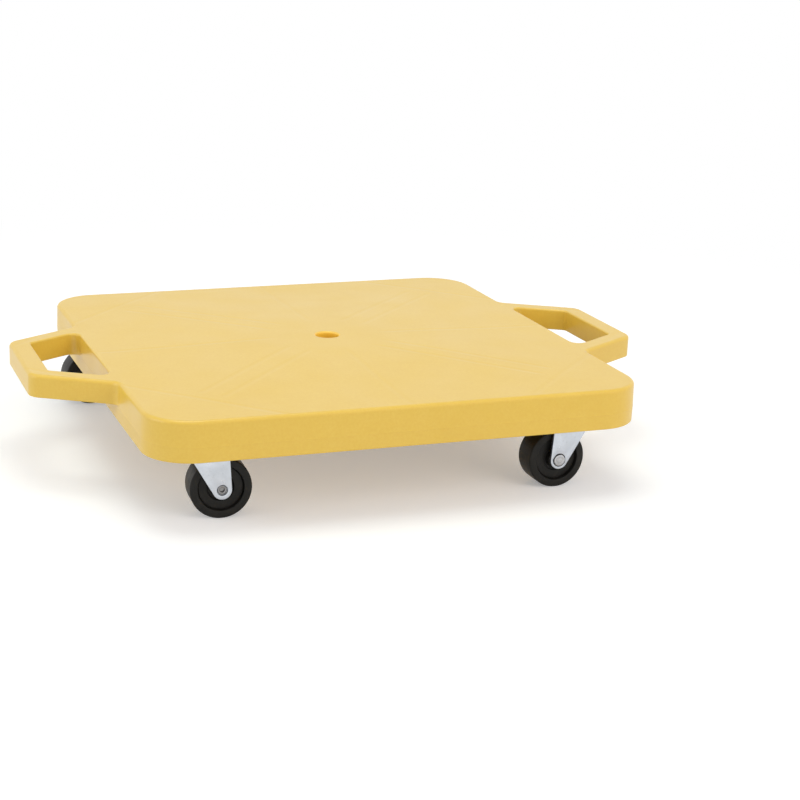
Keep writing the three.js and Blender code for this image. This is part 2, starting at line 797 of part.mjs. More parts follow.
function makeSleeve() {
  const half = forkInnerHalf - turningGap;
  return turnedAcross([
    [sleeveInnerRadius, -half],
    [sleeveOuterRadius, -half],
    [sleeveOuterRadius, half],
    [sleeveInnerRadius, half],
    [sleeveInnerRadius, -half],
  ], pinSides);
}

// Rivet: a flat round head at one end and a rolled, hollow end, sunk in its seat, at the other.
function makeAxle() {
  const headStart = headSeat + turningGap;
  const headEnd = headStart + axleHeadHeight;
  const rollStart = -(rollSeat + turningGap);
  const rollEnd = rollStart - axleRollHeight;
  return turnedAcross([
    [0, rollEnd + axleHollowDepth],
    [axleHollowRadius, rollEnd + axleHollowDepth],
    [axleHollowRadius, rollEnd],
    [axleRollRadius - axleRollHeight / 2, rollEnd],
    [axleRollRadius, rollStart],
    [axleRadius, rollStart],
    [axleRadius, headStart],
    [axleHeadRadius, headStart],
    [axleHeadRadius, headEnd - axleHeadBevel],
    [axleHeadRadius - axleHeadBevel, headEnd],
    [0, headEnd],
  ], pinSides);
}

// Pan-head screw, standing head down under the plate, with a cross recess.
function makeScrew() {
  const headBottom = plateBottom - screwHeadHeight;
  const tip = plateBottom + screwLength;
  const body = turnedUpright([
    [0, headBottom],
    [screwHeadTopRadius, headBottom],
    [screwHeadRadius, plateBottom],
    [screwRadius, plateBottom],
    [screwRadius, tip - screwTipLength],
    [0, tip],
  ], screwSides);
  const slotTop = headBottom + screwSlotDepth;
  const slot = block(screwSlotLength, screwSlotWidth, headBottom - seatOverlap, slotTop, 0, 0);
  const crossSlot = block(screwSlotWidth, screwSlotLength, headBottom - seatOverlap, slotTop, 0, 0);
  return without(body, [slot, crossSlot]);
}

const casters = [
  { name: "front_left", x: -casterOffset, y: -casterOffset, turn: frontLeftTurn },
  { name: "front_right", x: casterOffset, y: -casterOffset, turn: frontRightTurn },
  { name: "rear_right", x: casterOffset, y: casterOffset, turn: rearRightTurn },
  { name: "rear_left", x: -casterOffset, y: casterOffset, turn: rearLeftTurn },
];

function named(name, solid, material) {
  const mesh = new THREE.Mesh(toGeometry(solid), material);
  mesh.name = name;
  return mesh;
}

// The parts fixed to the deck: plate, kingpin and screws.
function fixedParts(name) {
  const group = new THREE.Group();
  group.rotation.z = halfRightAngle;
  group.add(named(`${name}_caster_plate`, makePlate(), zincSteel));
  group.add(named(`${name}_kingpin`, makeKingpin(), rivetSteel));
  screwPlaces().forEach(([x, y], i) => {
    const screw = named(`${name}_plate_screw_${i + 1}`, makeScrew(), screwSteel);
    screw.position.set(x, y, 0);
    group.add(screw);
  });
  return group;
}

// The parts that turn about the kingpin, with the wheel and its axle set back by the trail.
function turningParts(name, turn) {
  const group = new THREE.Group();
  group.rotation.z = turn;
  group.add(named(`${name}_ball_ring`, makeBallRing(), ballSteel));
  group.add(named(`${name}_fork`, makeFork(), zincSteel));
  const wheelGroup = new THREE.Group();
  wheelGroup.position.set(casterTrail, 0, axleHeight);
  wheelGroup.add(named(`${name}_wheel`, makeWheel(), wheelPlastic));
  wheelGroup.add(named(`${name}_axle_sleeve`, makeSleeve(), rivetSteel));
  wheelGroup.add(named(`${name}_axle_rivet`, makeAxle(), rivetSteel));
  group.add(wheelGroup);
  return group;
}

function makeCaster({ name, x, y, turn }) {
  const group = new THREE.Group();
  group.position.set(x, y, 0);
  group.add(fixedParts(name));
  group.add(turningParts(name, turn));
  return group;
}

const board = new THREE.Group();
board.name = "scooter_board";
board.add(named("deck", makeDeck(), deckPlastic));
casters.forEach((caster) => board.add(makeCaster(caster)));

export default board;
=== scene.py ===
"""Looks of the scooter board: its moulded deck, the four casters, their finishes, camera and light.

Lengths are drawn in millimetres, as in the part, and each piece is brought to metres when it is done.
"""

import math

import bmesh
import bpy
from mathutils import Euler, Matrix, Vector


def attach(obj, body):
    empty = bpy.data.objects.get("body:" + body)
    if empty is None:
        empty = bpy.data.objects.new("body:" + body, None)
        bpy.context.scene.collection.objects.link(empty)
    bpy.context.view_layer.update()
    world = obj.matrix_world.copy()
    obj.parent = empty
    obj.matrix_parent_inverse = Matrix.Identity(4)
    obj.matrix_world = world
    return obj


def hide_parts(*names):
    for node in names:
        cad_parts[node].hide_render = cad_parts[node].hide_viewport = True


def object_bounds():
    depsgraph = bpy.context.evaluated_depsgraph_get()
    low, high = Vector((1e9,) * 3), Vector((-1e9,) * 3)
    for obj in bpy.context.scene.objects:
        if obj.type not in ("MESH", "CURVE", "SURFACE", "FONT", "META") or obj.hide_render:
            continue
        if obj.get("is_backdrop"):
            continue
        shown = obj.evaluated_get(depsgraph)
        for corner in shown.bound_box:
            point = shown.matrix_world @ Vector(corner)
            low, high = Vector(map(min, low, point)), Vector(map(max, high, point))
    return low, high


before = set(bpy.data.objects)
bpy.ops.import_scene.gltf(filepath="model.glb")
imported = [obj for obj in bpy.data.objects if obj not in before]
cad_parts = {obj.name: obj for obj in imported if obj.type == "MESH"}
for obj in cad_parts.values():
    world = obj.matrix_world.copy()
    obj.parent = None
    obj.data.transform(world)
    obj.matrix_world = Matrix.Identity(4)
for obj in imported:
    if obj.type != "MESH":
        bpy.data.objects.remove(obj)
cad_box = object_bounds()
scene = bpy.context.scene

MM = 0.001
FULL_TURN = 2 * math.pi
QUARTER_TURN = math.pi / 2
ROOT_TWO = math.sqrt(2)
X_AXIS = Vector((1, 0, 0))
Y_AXIS = Vector((0, 1, 0))
Z_AXIS = Vector((0, 0, 1))

# Wheels
WHEEL_RADIUS = 24.29
WHEEL_HALF = 10.6
WHEEL_EDGE = 1.3
WHEEL_BORE = 4.85
HUB_HALF = 12.2
HUB_RADIUS = 8.0
HUB_GROOVE_RADIUS = 10.4
HUB_GROOVE_DEPTH = 4.4
HUB_DRAFT = 0.1
DISC_RADIUS = 17.2
DISC_DEPTH = 2.4
DISC_FALL = 0.2
RIM_GROOVE_RADIUS = 18.2
RIM_GROOVE_DEPTH = 3.6
AXLE_HEIGHT = WHEEL_RADIUS

# Forks
SHEET = 2.5
TURNING_GAP = 0.3
FORK_INNER = 12.5
FORK_OUTER = FORK_INNER + SHEET
FORK_BEND = 4.0
FORK_BEND_PARTS = 6
FORK_EDGE = 0.42
FORK_CEILING = AXLE_HEIGHT + WHEEL_RADIUS + 2.81
FORK_TOP = FORK_CEILING + SHEET
RACE_RADIUS = 18.2
RACE_RIM = 4.4
RACE_WALL = 1.8
RACE_LAP = 0.02
LEG_END = 7.4
LEG_SLANT = math.radians(30.5)
LEG_REAR_SLANT = math.radians(4)
LEG_ARC_PARTS = 18
HEAD_SEAT = 5.6
HEAD_SEAT_DEPTH = 1.4
ROLL_SEAT = 4.4
ROLL_SEAT_DEPTH = 1.9
SEAT_DRAFT = 0.1
PIN_HOLE = 3.5

# Axle rivets and their sleeves
SLEEVE_BORE = 3.3
SLEEVE_RADIUS = 4.6
AXLE_RADIUS = 3.0
AXLE_HEAD = 4.7
AXLE_HEAD_RISE = 1.1
AXLE_HEAD_GROOVE = 0.35
AXLE_BUTTON = 2.3
AXLE_ROLL = 3.9
AXLE_HOLLOW = 2.0
AXLE_HOLLOW_DEPTH = 2.0
SEAT_CLEARANCE = 0.3

# Swivel races and kingpins
BALL_RADIUS = 2.4
BALL_PITCH_RADIUS = 13.4
BALL_COUNT = 8
BALL_CENTRE = FORK_TOP + TURNING_GAP + BALL_RADIUS
RETAINER_HALF_WIDTH = 1.1
RETAINER_HALF_HEIGHT = 0.7
KINGPIN_RADIUS = 4.0
KINGPIN_HOLE = 4.4
KINGPIN_HEAD = 7.0
KINGPIN_HEAD_HEIGHT = 2.4
KINGPIN_UPSET = 6.4
KINGPIN_UPSET_HEIGHT = 2.6

# Caster plates and their screws
PLATE_HALF = 28.0
PLATE_CORNER = 6.0
PLATE_EDGE = 0.3
DISH_BOTTOM = BALL_CENTRE + BALL_RADIUS + TURNING_GAP
DISH_DEPTH = 5.41
DISH_FLOOR_RADIUS = 16.5
DISH_MOUTH_RADIUS = 20.0
DISH_BEND = 1.4
DISH_BEND_RUN = 1.2
PLATE_BOTTOM = DISH_BOTTOM + DISH_DEPTH
SCREW_HALF_PITCH = 21.2
SCREW_RADIUS = 1.9
SCREW_LENGTH = 14.5
SCREW_TIP = 2.0
SCREW_HEAD = 4.1
SCREW_HEAD_HEIGHT = 2.6
RECESS_RIM = 2.7
RECESS_HALF = 2.1
RECESS_ARM_HALF = 0.45
RECESS_DEPTH = 1.5
RECESS_TAPER = 0.8

# Deck
DECK_HALF = 203.2
DECK_CORNER = 38.0
CORNER_CENTRE = DECK_HALF - DECK_CORNER
PAD_BOTTOM = PLATE_BOTTOM + SHEET
PAD_HALF = 29.0
PAD_WALL = 3.0
PAD_BOSS = 5.4
PAD_HOLLOW_GAP = 0.2
RIM_HEIGHT = PAD_BOTTOM + 22.5
CROWN_RISE = 3.3
CROWN_TOP = RIM_HEIGHT + CROWN_RISE
RIM_BAND = 12.0
LAND_RADIUS = 30.0
DECK_WALL = 3.0
DECK_LIP = 0.7
EDGE_RADIUS = 3.0
UPPER_DRAFT = 0.4
LOWER_DRAFT = 0.25
SKIRT_BOTTOM = RIM_HEIGHT - 32.4
PARTING_HEIGHT = RIM_HEIGHT - 20.1
PARTING_RIDGE = 0.08
PARTING_FADE = 0.02
PARTING_SPREAD = 1.2
PARTING_HALF = 0.35
PARTING_TIP_HALF = 0.1
SKIRT_HOLD = 1.5
HOLE_RADIUS = 9.9
HOLE_EDGE = 1.8
RIB_BOTTOM = RIM_HEIGHT - 22
RIB_ROOT = 2.6
RIB_TIP = 1.9
RIB_EDGE = 0.5
RIB_STEP = 14
PAIR_HALF = 10.0
CROSS_SETBACK = 12.0
CORNER_PARTS = 14
SIDE_PARTS = 14
CROWN_RINGS = 14
HOLE_EDGE_PARTS = 5
EDGE_PARTS = 6
EDGE_HOLD = 0.8
EDGE_LAND = 0.5
BAND_LAND = 1.0

# Handle rings
HANDLE_REACH = 62.8
HANDLE_DEPTH = 18.8
HANDLE_ROOT_HALF = 88.8
HANDLE_OUTER_HALF = 51.6
HANDLE_CORNER = 12.0
SLANT_LEAST = 10.0
HANDLE_ROOT = DECK_HALF - UPPER_DRAFT - EDGE_RADIUS
HANDLE_TUCK = 1.4
HANDLE_BAR = 17.0
HANDLE_WALL = 2.8
HANDLE_LOWER_EDGE = 0.8
CHANNEL_EDGE = 0.4
CHANNEL_DRAFT = 0.3
CHANNEL_COVE = 1.0
ROOT_BLEND = 10.0
ROOT_BLEND_PARTS = 8
ROOT_BLEND_LEAD = 0.6
HAND_HOLE_ROOT_HALF = 70.2
HAND_HOLE_OUTER_HALF = 42.6
HAND_HOLE_ROOT_RADIUS = 8.0
HAND_HOLE_OUTER_RADIUS = 4.0
HAND_HOLE_EDGE = 1.4
HAND_HOLE_EDGE_PARTS = 4
HAND_HOLE_GAP = 0.25
HAND_HOLE_FACE = 1.2
WEB_PLACES = (-25.6, 0.0, 25.6)
WEB_LENGTH = HANDLE_BAR - 2
WEB_THICKNESS = 2.2
WEB_DEPTH_SHARE = 0.7

# Places of the casters: their kingpins in plan, and the way that each wheel trails in degrees
CASTER_OFFSET = DECK_HALF - 44.7
CASTER_TRAIL = 17.9
AXLE_MIDDLE = Vector((CASTER_TRAIL, 0, AXLE_HEIGHT))
CASTERS = {
    "front_left": (-CASTER_OFFSET, -CASTER_OFFSET, -3.8),
    "front_right": (CASTER_OFFSET, -CASTER_OFFSET, 180.9),
    "rear_right": (CASTER_OFFSET, CASTER_OFFSET, 171.0),
    "rear_left": (-CASTER_OFFSET, CASTER_OFFSET, 183.0),
}


# Drawing helpers

def filleted(corners, steps=4):
    """A section line through (radius, height, fillet) corners, with each fillet drawn as an arc."""
    points = []
    last = len(corners) - 1
    for k, (x, y, fillet) in enumerate(corners):
        here = Vector((x, y))
        if fillet == 0 or k in (0, last):
            points.append(here)
            continue
        back = (Vector(corners[k - 1][:2]) - here).normalized()
        on = (Vector(corners[k + 1][:2]) - here).normalized()
        half = back.angle(on) / 2
        run = fillet / math.tan(half)
        centre = here + (back + on).normalized() * (fillet / math.sin(half))
        start = here + back * run - centre
        sweep = start.angle_signed(here + on * run - centre)
        for i in range(steps + 1):
            turn = Matrix.Rotation(-sweep * i / steps, 2)
            points.append(centre + turn @ start)
    return points


def chain(bm, points, closed=False):
    """A line of edges through points, closed into a ring if asked for; gives its corners and its edges."""
    verts = [bm.verts.new(point) for point in points]
    pairs = list(zip(verts, verts[1:]))
    if closed:
        pairs.append((verts[-1], verts[0]))
    return verts, [bm.edges.new(pair) for pair in pairs]


def turned(section, axis, steps, centre=Vector()):
    """A round piece: a section line of (radius, along) points turned once about an axis."""
    bm = bmesh.new()
    verts, edges = chain(bm, [X_AXIS * point.x + axis * point.y for point in section])
    bmesh.ops.spin(bm, geom=verts + edges, cent=Vector(), axis=axis, angle=FULL_TURN, steps=steps,
                   use_merge=True, use_duplicate=False)
    bmesh.ops.remove_doubles(bm, verts=bm.verts, dist=0.002)
    bmesh.ops.dissolve_degenerate(bm, edges=bm.edges, dist=0.002)
    bmesh.ops.recalc_face_normals(bm, faces=bm.faces)
    bmesh.ops.translate(bm, vec=centre, verts=bm.verts)
    return bm


def loop_of(section):
    """A closed section: the line and back to its start."""
    return section + [section[0].copy()]


def drawn_on(bm, edges, place):
    """Draws a ring of edges on into a new ring, with each new point where place puts it."""
    made = bmesh.ops.extrude_edge_only(bm, edges=edges)["geom"]
    for vert in (part for part in made if isinstance(part, bmesh.types.BMVert)):
        vert.co = place(vert)
    return [part for part in made if isinstance(part, bmesh.types.BMEdge)]


def flat(co):
    """A place in plan."""
    return Vector((co.x, co.y, 0))


def edges_where(bm, test):
    """The edges of a mesh that pass a test."""
    return [edge for edge in bm.edges if test(edge)]


def in_order(edges):
    """The points of a closed ring of edges, one after the other."""
    ring = set(edges)
    first = edges[0].verts[0]
    around = [first]
    edge = edges[0]
    while True:
        ring.discard(edge)
        here = edge.other_vert(around[-1])
        if here is first:
            return around
        around.append(here)
        edge = next(other for other in here.link_edges if other in ring)


def rounded_outline(corners, fillets, slant_cuts=0):
    """Points of a convex outline with rounded corners, each with its way inwards.

    They run from the first corner to the last. Slanted sides may be cut evenly.
    """
    bm = bmesh.new()
    verts = [bm.verts.new((x, y, 0)) for x, y in corners]
    bm.faces.new(verts)
    turns = []
    for k, vert in enumerate(verts):
        back = verts[k - 1].co - vert.co
        on = verts[(k + 1) % len(verts)].co - vert.co
        turns.append(math.pi - back.angle(on))
    for vert, turn, (radius, parts) in zip(verts, turns, fillets):
        if radius:
            bmesh.ops.bevel(bm, geom=[vert], offset=radius * math.tan(turn / 2), offset_type="OFFSET",
                            segments=parts, profile=0.5, affect="VERTICES", material=-1)
    bmesh.ops.delete(bm, geom=list(bm.faces), context="FACES_ONLY")
    if slant_cuts:
        def is_slanted(edge):
            run = edge.verts[0].co - edge.verts[1].co
            return min(abs(run.x), abs(run.y)) > SLANT_LEAST

        slanted = edges_where(bm, is_slanted)
        bmesh.ops.subdivide_edges(bm, edges=slanted, cuts=slant_cuts)
    around = [vert.co.copy() for vert in in_order(list(bm.edges))]
    bm.free()
    root = min(point.x for point in around) + 0.01
    first = next(k for k, point in enumerate(around) if point.x < root and point.y < 0)
    around = around[first:] + around[:first]
    if around[1].x < root:
        around = around[:1] + around[:0:-1]
    points = []
    for k, here in enumerate(around):
        before = (here - around[k - 1]).normalized()
        after = (around[(k + 1) % len(around)] - here).normalized()
        in_before = Vector((-before.y, before.x, 0))
        in_after = Vector((-after.y, after.x, 0))
        points.append((here, (in_before + in_after) / (1 + in_before.dot(in_after))))
    return points


def add_to(whole, piece):
    """Puts a finished shell into the mesh of the piece that it belongs to."""
    carrier = bpy.data.meshes.new("shell")
    piece.to_mesh(carrier)
    piece.free()
    whole.from_mesh(carrier)
    bpy.data.meshes.remove(carrier)


def thickened(bm, inner_place):
    """Closes an outer skin with an inner one, whose points lie where inner_place puts them."""
    def spot(vert):
        return tuple(round(number, 4) for number in vert.co)

    inner_places = {spot(vert): inner_place(vert) for vert in bm.verts}
    made = bmesh.ops.extrude_face_region(bm, geom=list(bm.faces), use_keep_orig=True)["geom"]
    for vert in (part for part in made if isinstance(part, bmesh.types.BMVert)):
        vert.co = inner_places[spot(vert)]
    bmesh.ops.recalc_face_normals(bm, faces=bm.faces)


def rounded(bm, edges, radius, segments):
    """Edges given a round of a radius."""
    bmesh.ops.bevel(bm, geom=edges, offset=radius, offset_type="OFFSET", segments=segments,
                    profile=0.5, affect="EDGES", clamp_overlap=True, material=-1)


def mark_sharp(mesh, angle):
    """Edges bent by more than angle stay crisp."""
    edges = bmesh.new()
    edges.from_mesh(mesh)
    for edge in edges.edges:
        edge.smooth = len(edge.link_faces) == 2 and edge.calc_face_angle(0) < angle
    edges.to_mesh(mesh)
    edges.free()


def finished(name, bm, body, node, material, sharp=32.0, place=None, seat_shade=None):
    """Brings a mesh to its place and to metres, and makes it the piece that stands for a node.

    Edges bent by more than sharp degrees stay crisp. The function given last says how much painted shade
    lies at a point of the unplaced mesh, from 0 to 1.
    """
    # painted shade: how dark each point of the seats is painted is kept on the mesh as a float layer
    if seat_shade is not None:
        layer = bm.verts.layers.float.new("seat_shade")
        for vert in bm.verts:
            vert[layer] = seat_shade(vert.co)
    if place is not None:
        bmesh.ops.transform(bm, matrix=place, verts=bm.verts)
    bmesh.ops.scale(bm, vec=(MM, MM, MM), verts=bm.verts)
    mesh = bpy.data.meshes.new(name)
    bm.to_mesh(mesh)
    bm.free()
    mesh.shade_smooth()
    piece = bpy.data.objects.new(name, mesh)
    scene.collection.objects.link(piece)
    mesh.materials.append(material)
    mark_sharp(mesh, math.radians(sharp))
    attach(piece, body)
    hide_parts(node)


# Deck

def on_outline(point, inset, height):
    """The place on the deck's outline, moved in by inset, that belongs to a point of any such outline."""
    core = Vector((max(-CORNER_CENTRE, min(CORNER_CENTRE, point.x)),
                   max(-CORNER_CENTRE, min(CORNER_CENTRE, point.y)), 0))
    away = Vector((point.x - core.x, point.y - core.y, 0)).normalized()
    return core + away * (DECK_CORNER - inset) + Z_AXIS * height


def outline_loop(bm):
    """The deck's outline: a square with its corners rounded and its sides cut evenly."""
    square = bmesh.ops.create_grid(bm, x_segments=1, y_segments=1, size=DECK_HALF)["verts"]
    bmesh.ops.bevel(bm, geom=square, offset=DECK_CORNER, offset_type="OFFSET", segments=CORNER_PARTS,
                    profile=0.5, affect="VERTICES", material=-1)
    bmesh.ops.delete(bm, geom=list(bm.faces), context="FACES_ONLY")
    sides = edges_where(bm, lambda edge: edge.calc_length() > DECK_HALF)
    bmesh.ops.subdivide_edges(bm, edges=sides, cuts=SIDE_PARTS - 1)
    for vert in bm.verts:
        vert.co = on_outline(vert.co, RIM_BAND, 0)
    return list(bm.edges)


def crown_rise(share):
    """Rise of the top between the land (share 0) and the flat band at the rim (share 1)."""
    return CROWN_RISE * math.cos(share * QUARTER_TURN) ** 2


def deck_skin():
    """The outer skin: hole, land, crown, band, rounded edge and drafted skirt, then its wall."""
    bm = bmesh.new()
    band = outline_loop(bm)
    land = bmesh.ops.create_circle(bm, segments=len(band), radius=LAND_RADIUS)["verts"]
    bmesh.ops.translate(bm, vec=Z_AXIS, verts=land)
    land_edges = list({edge for vert in land for edge in vert.link_edges})
    crown = bmesh.ops.bridge_loops(bm, edges=band + land_edges)
    radial = [edge for edge in crown["edges"] if abs(edge.verts[0].co.z - edge.verts[1].co.z) > 0.5]
    bmesh.ops.subdivide_edges(bm, edges=radial, cuts=CROWN_RINGS - 1, use_grid_fill=True)
    for vert in bm.verts:
        vert.co.z = RIM_HEIGHT + crown_rise(1 - vert.co.z)

    ring = land_edges
    for radius, height in hole_section():
        ring = drawn_on(bm, ring, lambda vert: flat(vert.co).normalized() * radius + Z_AXIS * height)
    ring = band
    for inset, height in skirt_section():
        ring = drawn_on(bm, ring, lambda vert: on_outline(vert.co, inset, height))
    bmesh.ops.recalc_face_normals(bm, faces=bm.faces)
    if max(bm.faces, key=lambda face: face.calc_center_median().z).normal.z < 0:
        bmesh.ops.reverse_faces(bm, faces=bm.faces)
    bm.normal_update()
    thickened(bm, lambda vert: vert.co - vert.normal * DECK_WALL)
    bmesh.ops.remove_doubles(bm, verts=bm.verts, dist=0.03)
    bm.normal_update()

    def is_lip(edge):
        slopes = sorted(face.normal.z for face in edge.link_faces)
        low = max(vert.co.z for vert in edge.verts) < RIB_BOTTOM + 0.1
        return low and len(slopes) == 2 and slopes[0] < -0.9 and slopes[1] > -0.3

    rounded(bm, edges_where(bm, is_lip), DECK_LIP, 3)
    return bm


def edge_section(radius, top, steps, land=EDGE_LAND):
    """(inset, height) from a flat top over a rounded edge, with a narrow land that keeps the top flat."""
    section = [(radius + land, top)]
    for i in range(steps + 1):
        angle = QUARTER_TURN * i / steps
        section.append((radius * (1 - math.sin(angle)), top - radius * (1 - math.cos(angle))))
    return section


def hole_section():
    """(radius, height) from the land down through the middle hole and its boss."""
    edge = edge_section(HOLE_EDGE, CROWN_TOP, HOLE_EDGE_PARTS, land=BAND_LAND)
    section = [(HOLE_RADIUS + out, height) for out, height in edge]
    return section + [(HOLE_RADIUS, CROWN_TOP - HOLE_EDGE - EDGE_HOLD), (HOLE_RADIUS, RIB_BOTTOM)]


def skirt_section():
    """(inset, height) from the flat band over the rounded edge and down the skirt, with its parting line."""
    edge = edge_section(EDGE_RADIUS, RIM_HEIGHT, EDGE_PARTS, land=BAND_LAND)
    section = [(UPPER_DRAFT + inset, height) for inset, height in edge]
    section.append((UPPER_DRAFT, RIM_HEIGHT - EDGE_RADIUS - BAND_LAND))
    ridge = [(PARTING_RIDGE + PARTING_FADE, PARTING_SPREAD), (PARTING_RIDGE, PARTING_HALF),
             (0, PARTING_TIP_HALF)]
    section += [(inset, PARTING_HEIGHT + away) for inset, away in ridge]
    section += [(inset, PARTING_HEIGHT - away) for inset, away in reversed(ridge)]
    return section + [(LOWER_DRAFT, SKIRT_BOTTOM + SKIRT_HOLD), (LOWER_DRAFT, SKIRT_BOTTOM)]


def crown_height(x, y):
    """Height of the top at a place in plan."""
    distance = math.hypot(x, y)
    if distance <= LAND_RADIUS:
        return CROWN_TOP
    way = Vector((abs(x), abs(y))) / distance
    half = DECK_HALF - RIM_BAND
    radius = DECK_CORNER - RIM_BAND
    reach = half / max(way)
    if min(way) * reach > CORNER_CENTRE:
        centre = Vector((CORNER_CENTRE, CORNER_CENTRE))
        along = way.dot(centre)
        reach = along + math.sqrt(along ** 2 - centre.length_squared + radius ** 2)
    share = min((distance - LAND_RADIUS) / (reach - LAND_RADIUS), 1)
    return RIM_HEIGHT + crown_rise(share)


def rib(start, end):
    """A tapered rib between two places in plan, its upper side buried in the top, its lower edges rounded."""
    bm = bmesh.new()
    run = end - start
    side = Vector((-run.y, run.x)).normalized()

    def is_lengthwise(edge):
        return abs(edge.verts[0].co.x - edge.verts[1].co.x) > 0.01

    bmesh.ops.create_cube(bm, size=1)
    bmesh.ops.translate(bm, vec=(0.5, 0, 0.5), verts=bm.verts)
    cuts = max(2, int(run.length / RIB_STEP))
    bmesh.ops.subdivide_edges(bm, edges=edges_where(bm, is_lengthwise), cuts=cuts, use_grid_fill=True)
    low = edges_where(bm, lambda edge: is_lengthwise(edge) and all(vert.co.z < 0.1 for vert in edge.verts))
    for vert in bm.verts:
        upper = vert.co.z > 0.5
        place = start + run * vert.co.x + side * (vert.co.y * (RIB_ROOT if upper else RIB_TIP))
        height = crown_height(place.x, place.y) - DECK_WALL / 2 if upper else RIB_BOTTOM
        vert.co = Vector((place.x, place.y, height))
    bm.normal_update()
    rounded(bm, [edge for edge in low if edge.calc_face_angle(0) > 1], RIB_EDGE, 2)
    bmesh.ops.recalc_face_normals(bm, faces=bm.faces)
    return bm


def diagonal(along, across):
    """A place in plan given along and across the diagonal towards the rear right corner."""
    return Vector((along - across, along + across)) / ROOT_TWO


def quarter_ribs():
    """Starts and ends of the ribs of one quarter of the deck."""
    boss = HOLE_RADIUS + DECK_WALL / 2
    pad = CASTER_OFFSET * ROOT_TWO
    pad_face = pad - PAD_HALF + PAD_WALL / 2
    cross = pad - CROSS_SETBACK
    skirt = DECK_HALF - DECK_WALL / 2
    cross_end = skirt * ROOT_TWO - cross
    ribs = [(Vector((boss, 0)), Vector((skirt, 0)))]
    for side in (-1, 1):
        ribs.append((diagonal(boss, side * PAIR_HALF), diagonal(pad_face, side * PAIR_HALF)))
        ribs.append((diagonal(cross, side * (PAD_HALF - PAD_WALL / 2)), diagonal(cross, side * cross_end)))
    return ribs


def corner_pad():
    """The walled box that a caster plate is screwed to, with its four screw bosses."""
    top = RIM_HEIGHT - DECK_WALL / 2
    middle = (top + PAD_BOTTOM) / 2
    bm = bmesh.new()
    bmesh.ops.create_cube(bm, size=1)
    bmesh.ops.scale(bm, vec=(2 * PAD_HALF, 2 * PAD_HALF, top - PAD_BOTTOM), verts=bm.verts)
    bmesh.ops.translate(bm, vec=(0, 0, middle), verts=bm.verts)
    bm.normal_update()
    under = [face for face in bm.faces if face.normal.z < -0.9]
    bmesh.ops.inset_region(bm, faces=under, thickness=PAD_WALL, use_even_offset=True, use_boundary=True)
    hollow = bmesh.ops.extrude_face_region(bm, geom=under)["geom"]
    bmesh.ops.delete(bm, geom=under, context="FACES_ONLY")
    moved = [part for part in hollow if isinstance(part, bmesh.types.BMVert)]
    bmesh.ops.translate(bm, vec=(0, 0, top - PAD_BOTTOM - PAD_HOLLOW_GAP), verts=moved)
    bmesh.ops.recalc_face_normals(bm, faces=bm.faces)
    for x in (-SCREW_HALF_PITCH, SCREW_HALF_PITCH):
        for y in (-SCREW_HALF_PITCH, SCREW_HALF_PITCH):
            bmesh.ops.create_cone(bm, cap_ends=True, segments=20, radius1=PAD_BOSS, radius2=PAD_BOSS,
                                  depth=top - PAD_BOTTOM, matrix=Matrix.Translation((x, y, middle)))
    return bm


def handle_outline(inwards, reach, root_half, outer_half, fillets, slant_cuts=0):
    """A four-sided outline that narrows from the deck's face outwards."""
    root = root_half + (root_half - outer_half) / reach * inwards
    corners = [(DECK_HALF - inwards, -root), (DECK_HALF + reach, -outer_half),
               (DECK_HALF + reach, outer_half), (DECK_HALF - inwards, root)]
    return rounded_outline(corners, fillets, slant_cuts)


def rail_section(edge, steps):
    """(inset, height) over one rail of the handle: rounded top edge, side, lower lip and channel wall."""
    bottom = RIM_HEIGHT - HANDLE_DEPTH
    ceiling = RIM_HEIGHT - DECK_WALL
    lip = HANDLE_LOWER_EDGE
    hollow = HANDLE_WALL + CHANNEL_DRAFT
    return edge_section(edge, RIM_HEIGHT, steps) + [
        (0, RIM_HEIGHT - edge - EDGE_HOLD),
        (0, bottom + lip + CHANNEL_EDGE),
        (0, bottom + lip),
        (lip * 0.3, bottom + lip * 0.3),
        (lip, bottom),
        (HANDLE_WALL - CHANNEL_EDGE, bottom),
        (HANDLE_WALL, bottom + CHANNEL_EDGE),
        (hollow, ceiling - CHANNEL_COVE),
        (hollow + CHANNEL_COVE, ceiling),
        (hollow + CHANNEL_COVE + EDGE_LAND, ceiling),
    ]


def face_inset(height):
    """How far in the deck's side lies at a height above its parting line."""
    drop = RIM_HEIGHT - height
    if drop < EDGE_RADIUS:
        return UPPER_DRAFT + EDGE_RADIUS - math.sqrt(EDGE_RADIUS ** 2 - (EDGE_RADIUS - drop) ** 2)
    share = (drop - EDGE_RADIUS) / (RIM_HEIGHT - EDGE_RADIUS - PARTING_HEIGHT)
    return UPPER_DRAFT + (PARTING_RIDGE - UPPER_DRAFT) * share


def root_blend(inset, height):
    """The soft inner corner where the handle's rear side leaves the deck's face, from the wall outwards."""
    slope = math.atan((HANDLE_ROOT_HALF - HANDLE_OUTER_HALF) / HANDLE_REACH)
    face = DECK_HALF - face_inset(height)
    radius = ROOT_BLEND + inset
    side = DECK_HALF * math.sin(slope) + HANDLE_ROOT_HALF * math.cos(slope) - inset
    out = face + radius
    centre = Vector((out, (side + radius - out * math.sin(slope)) / math.cos(slope), 0))
    tuck = HANDLE_TUCK * min(1, (RIM_HEIGHT - height) / EDGE_RADIUS)
    points = [Vector((HANDLE_ROOT + tuck, centre.y + ROOT_BLEND_LEAD, 0))]
    for i in range(ROOT_BLEND_PARTS + 1):
        turn = Matrix.Rotation((QUARTER_TURN - slope) * i / ROOT_BLEND_PARTS, 3, "Z")
        points.append(centre - turn @ (X_AXIS * radius))
    return points


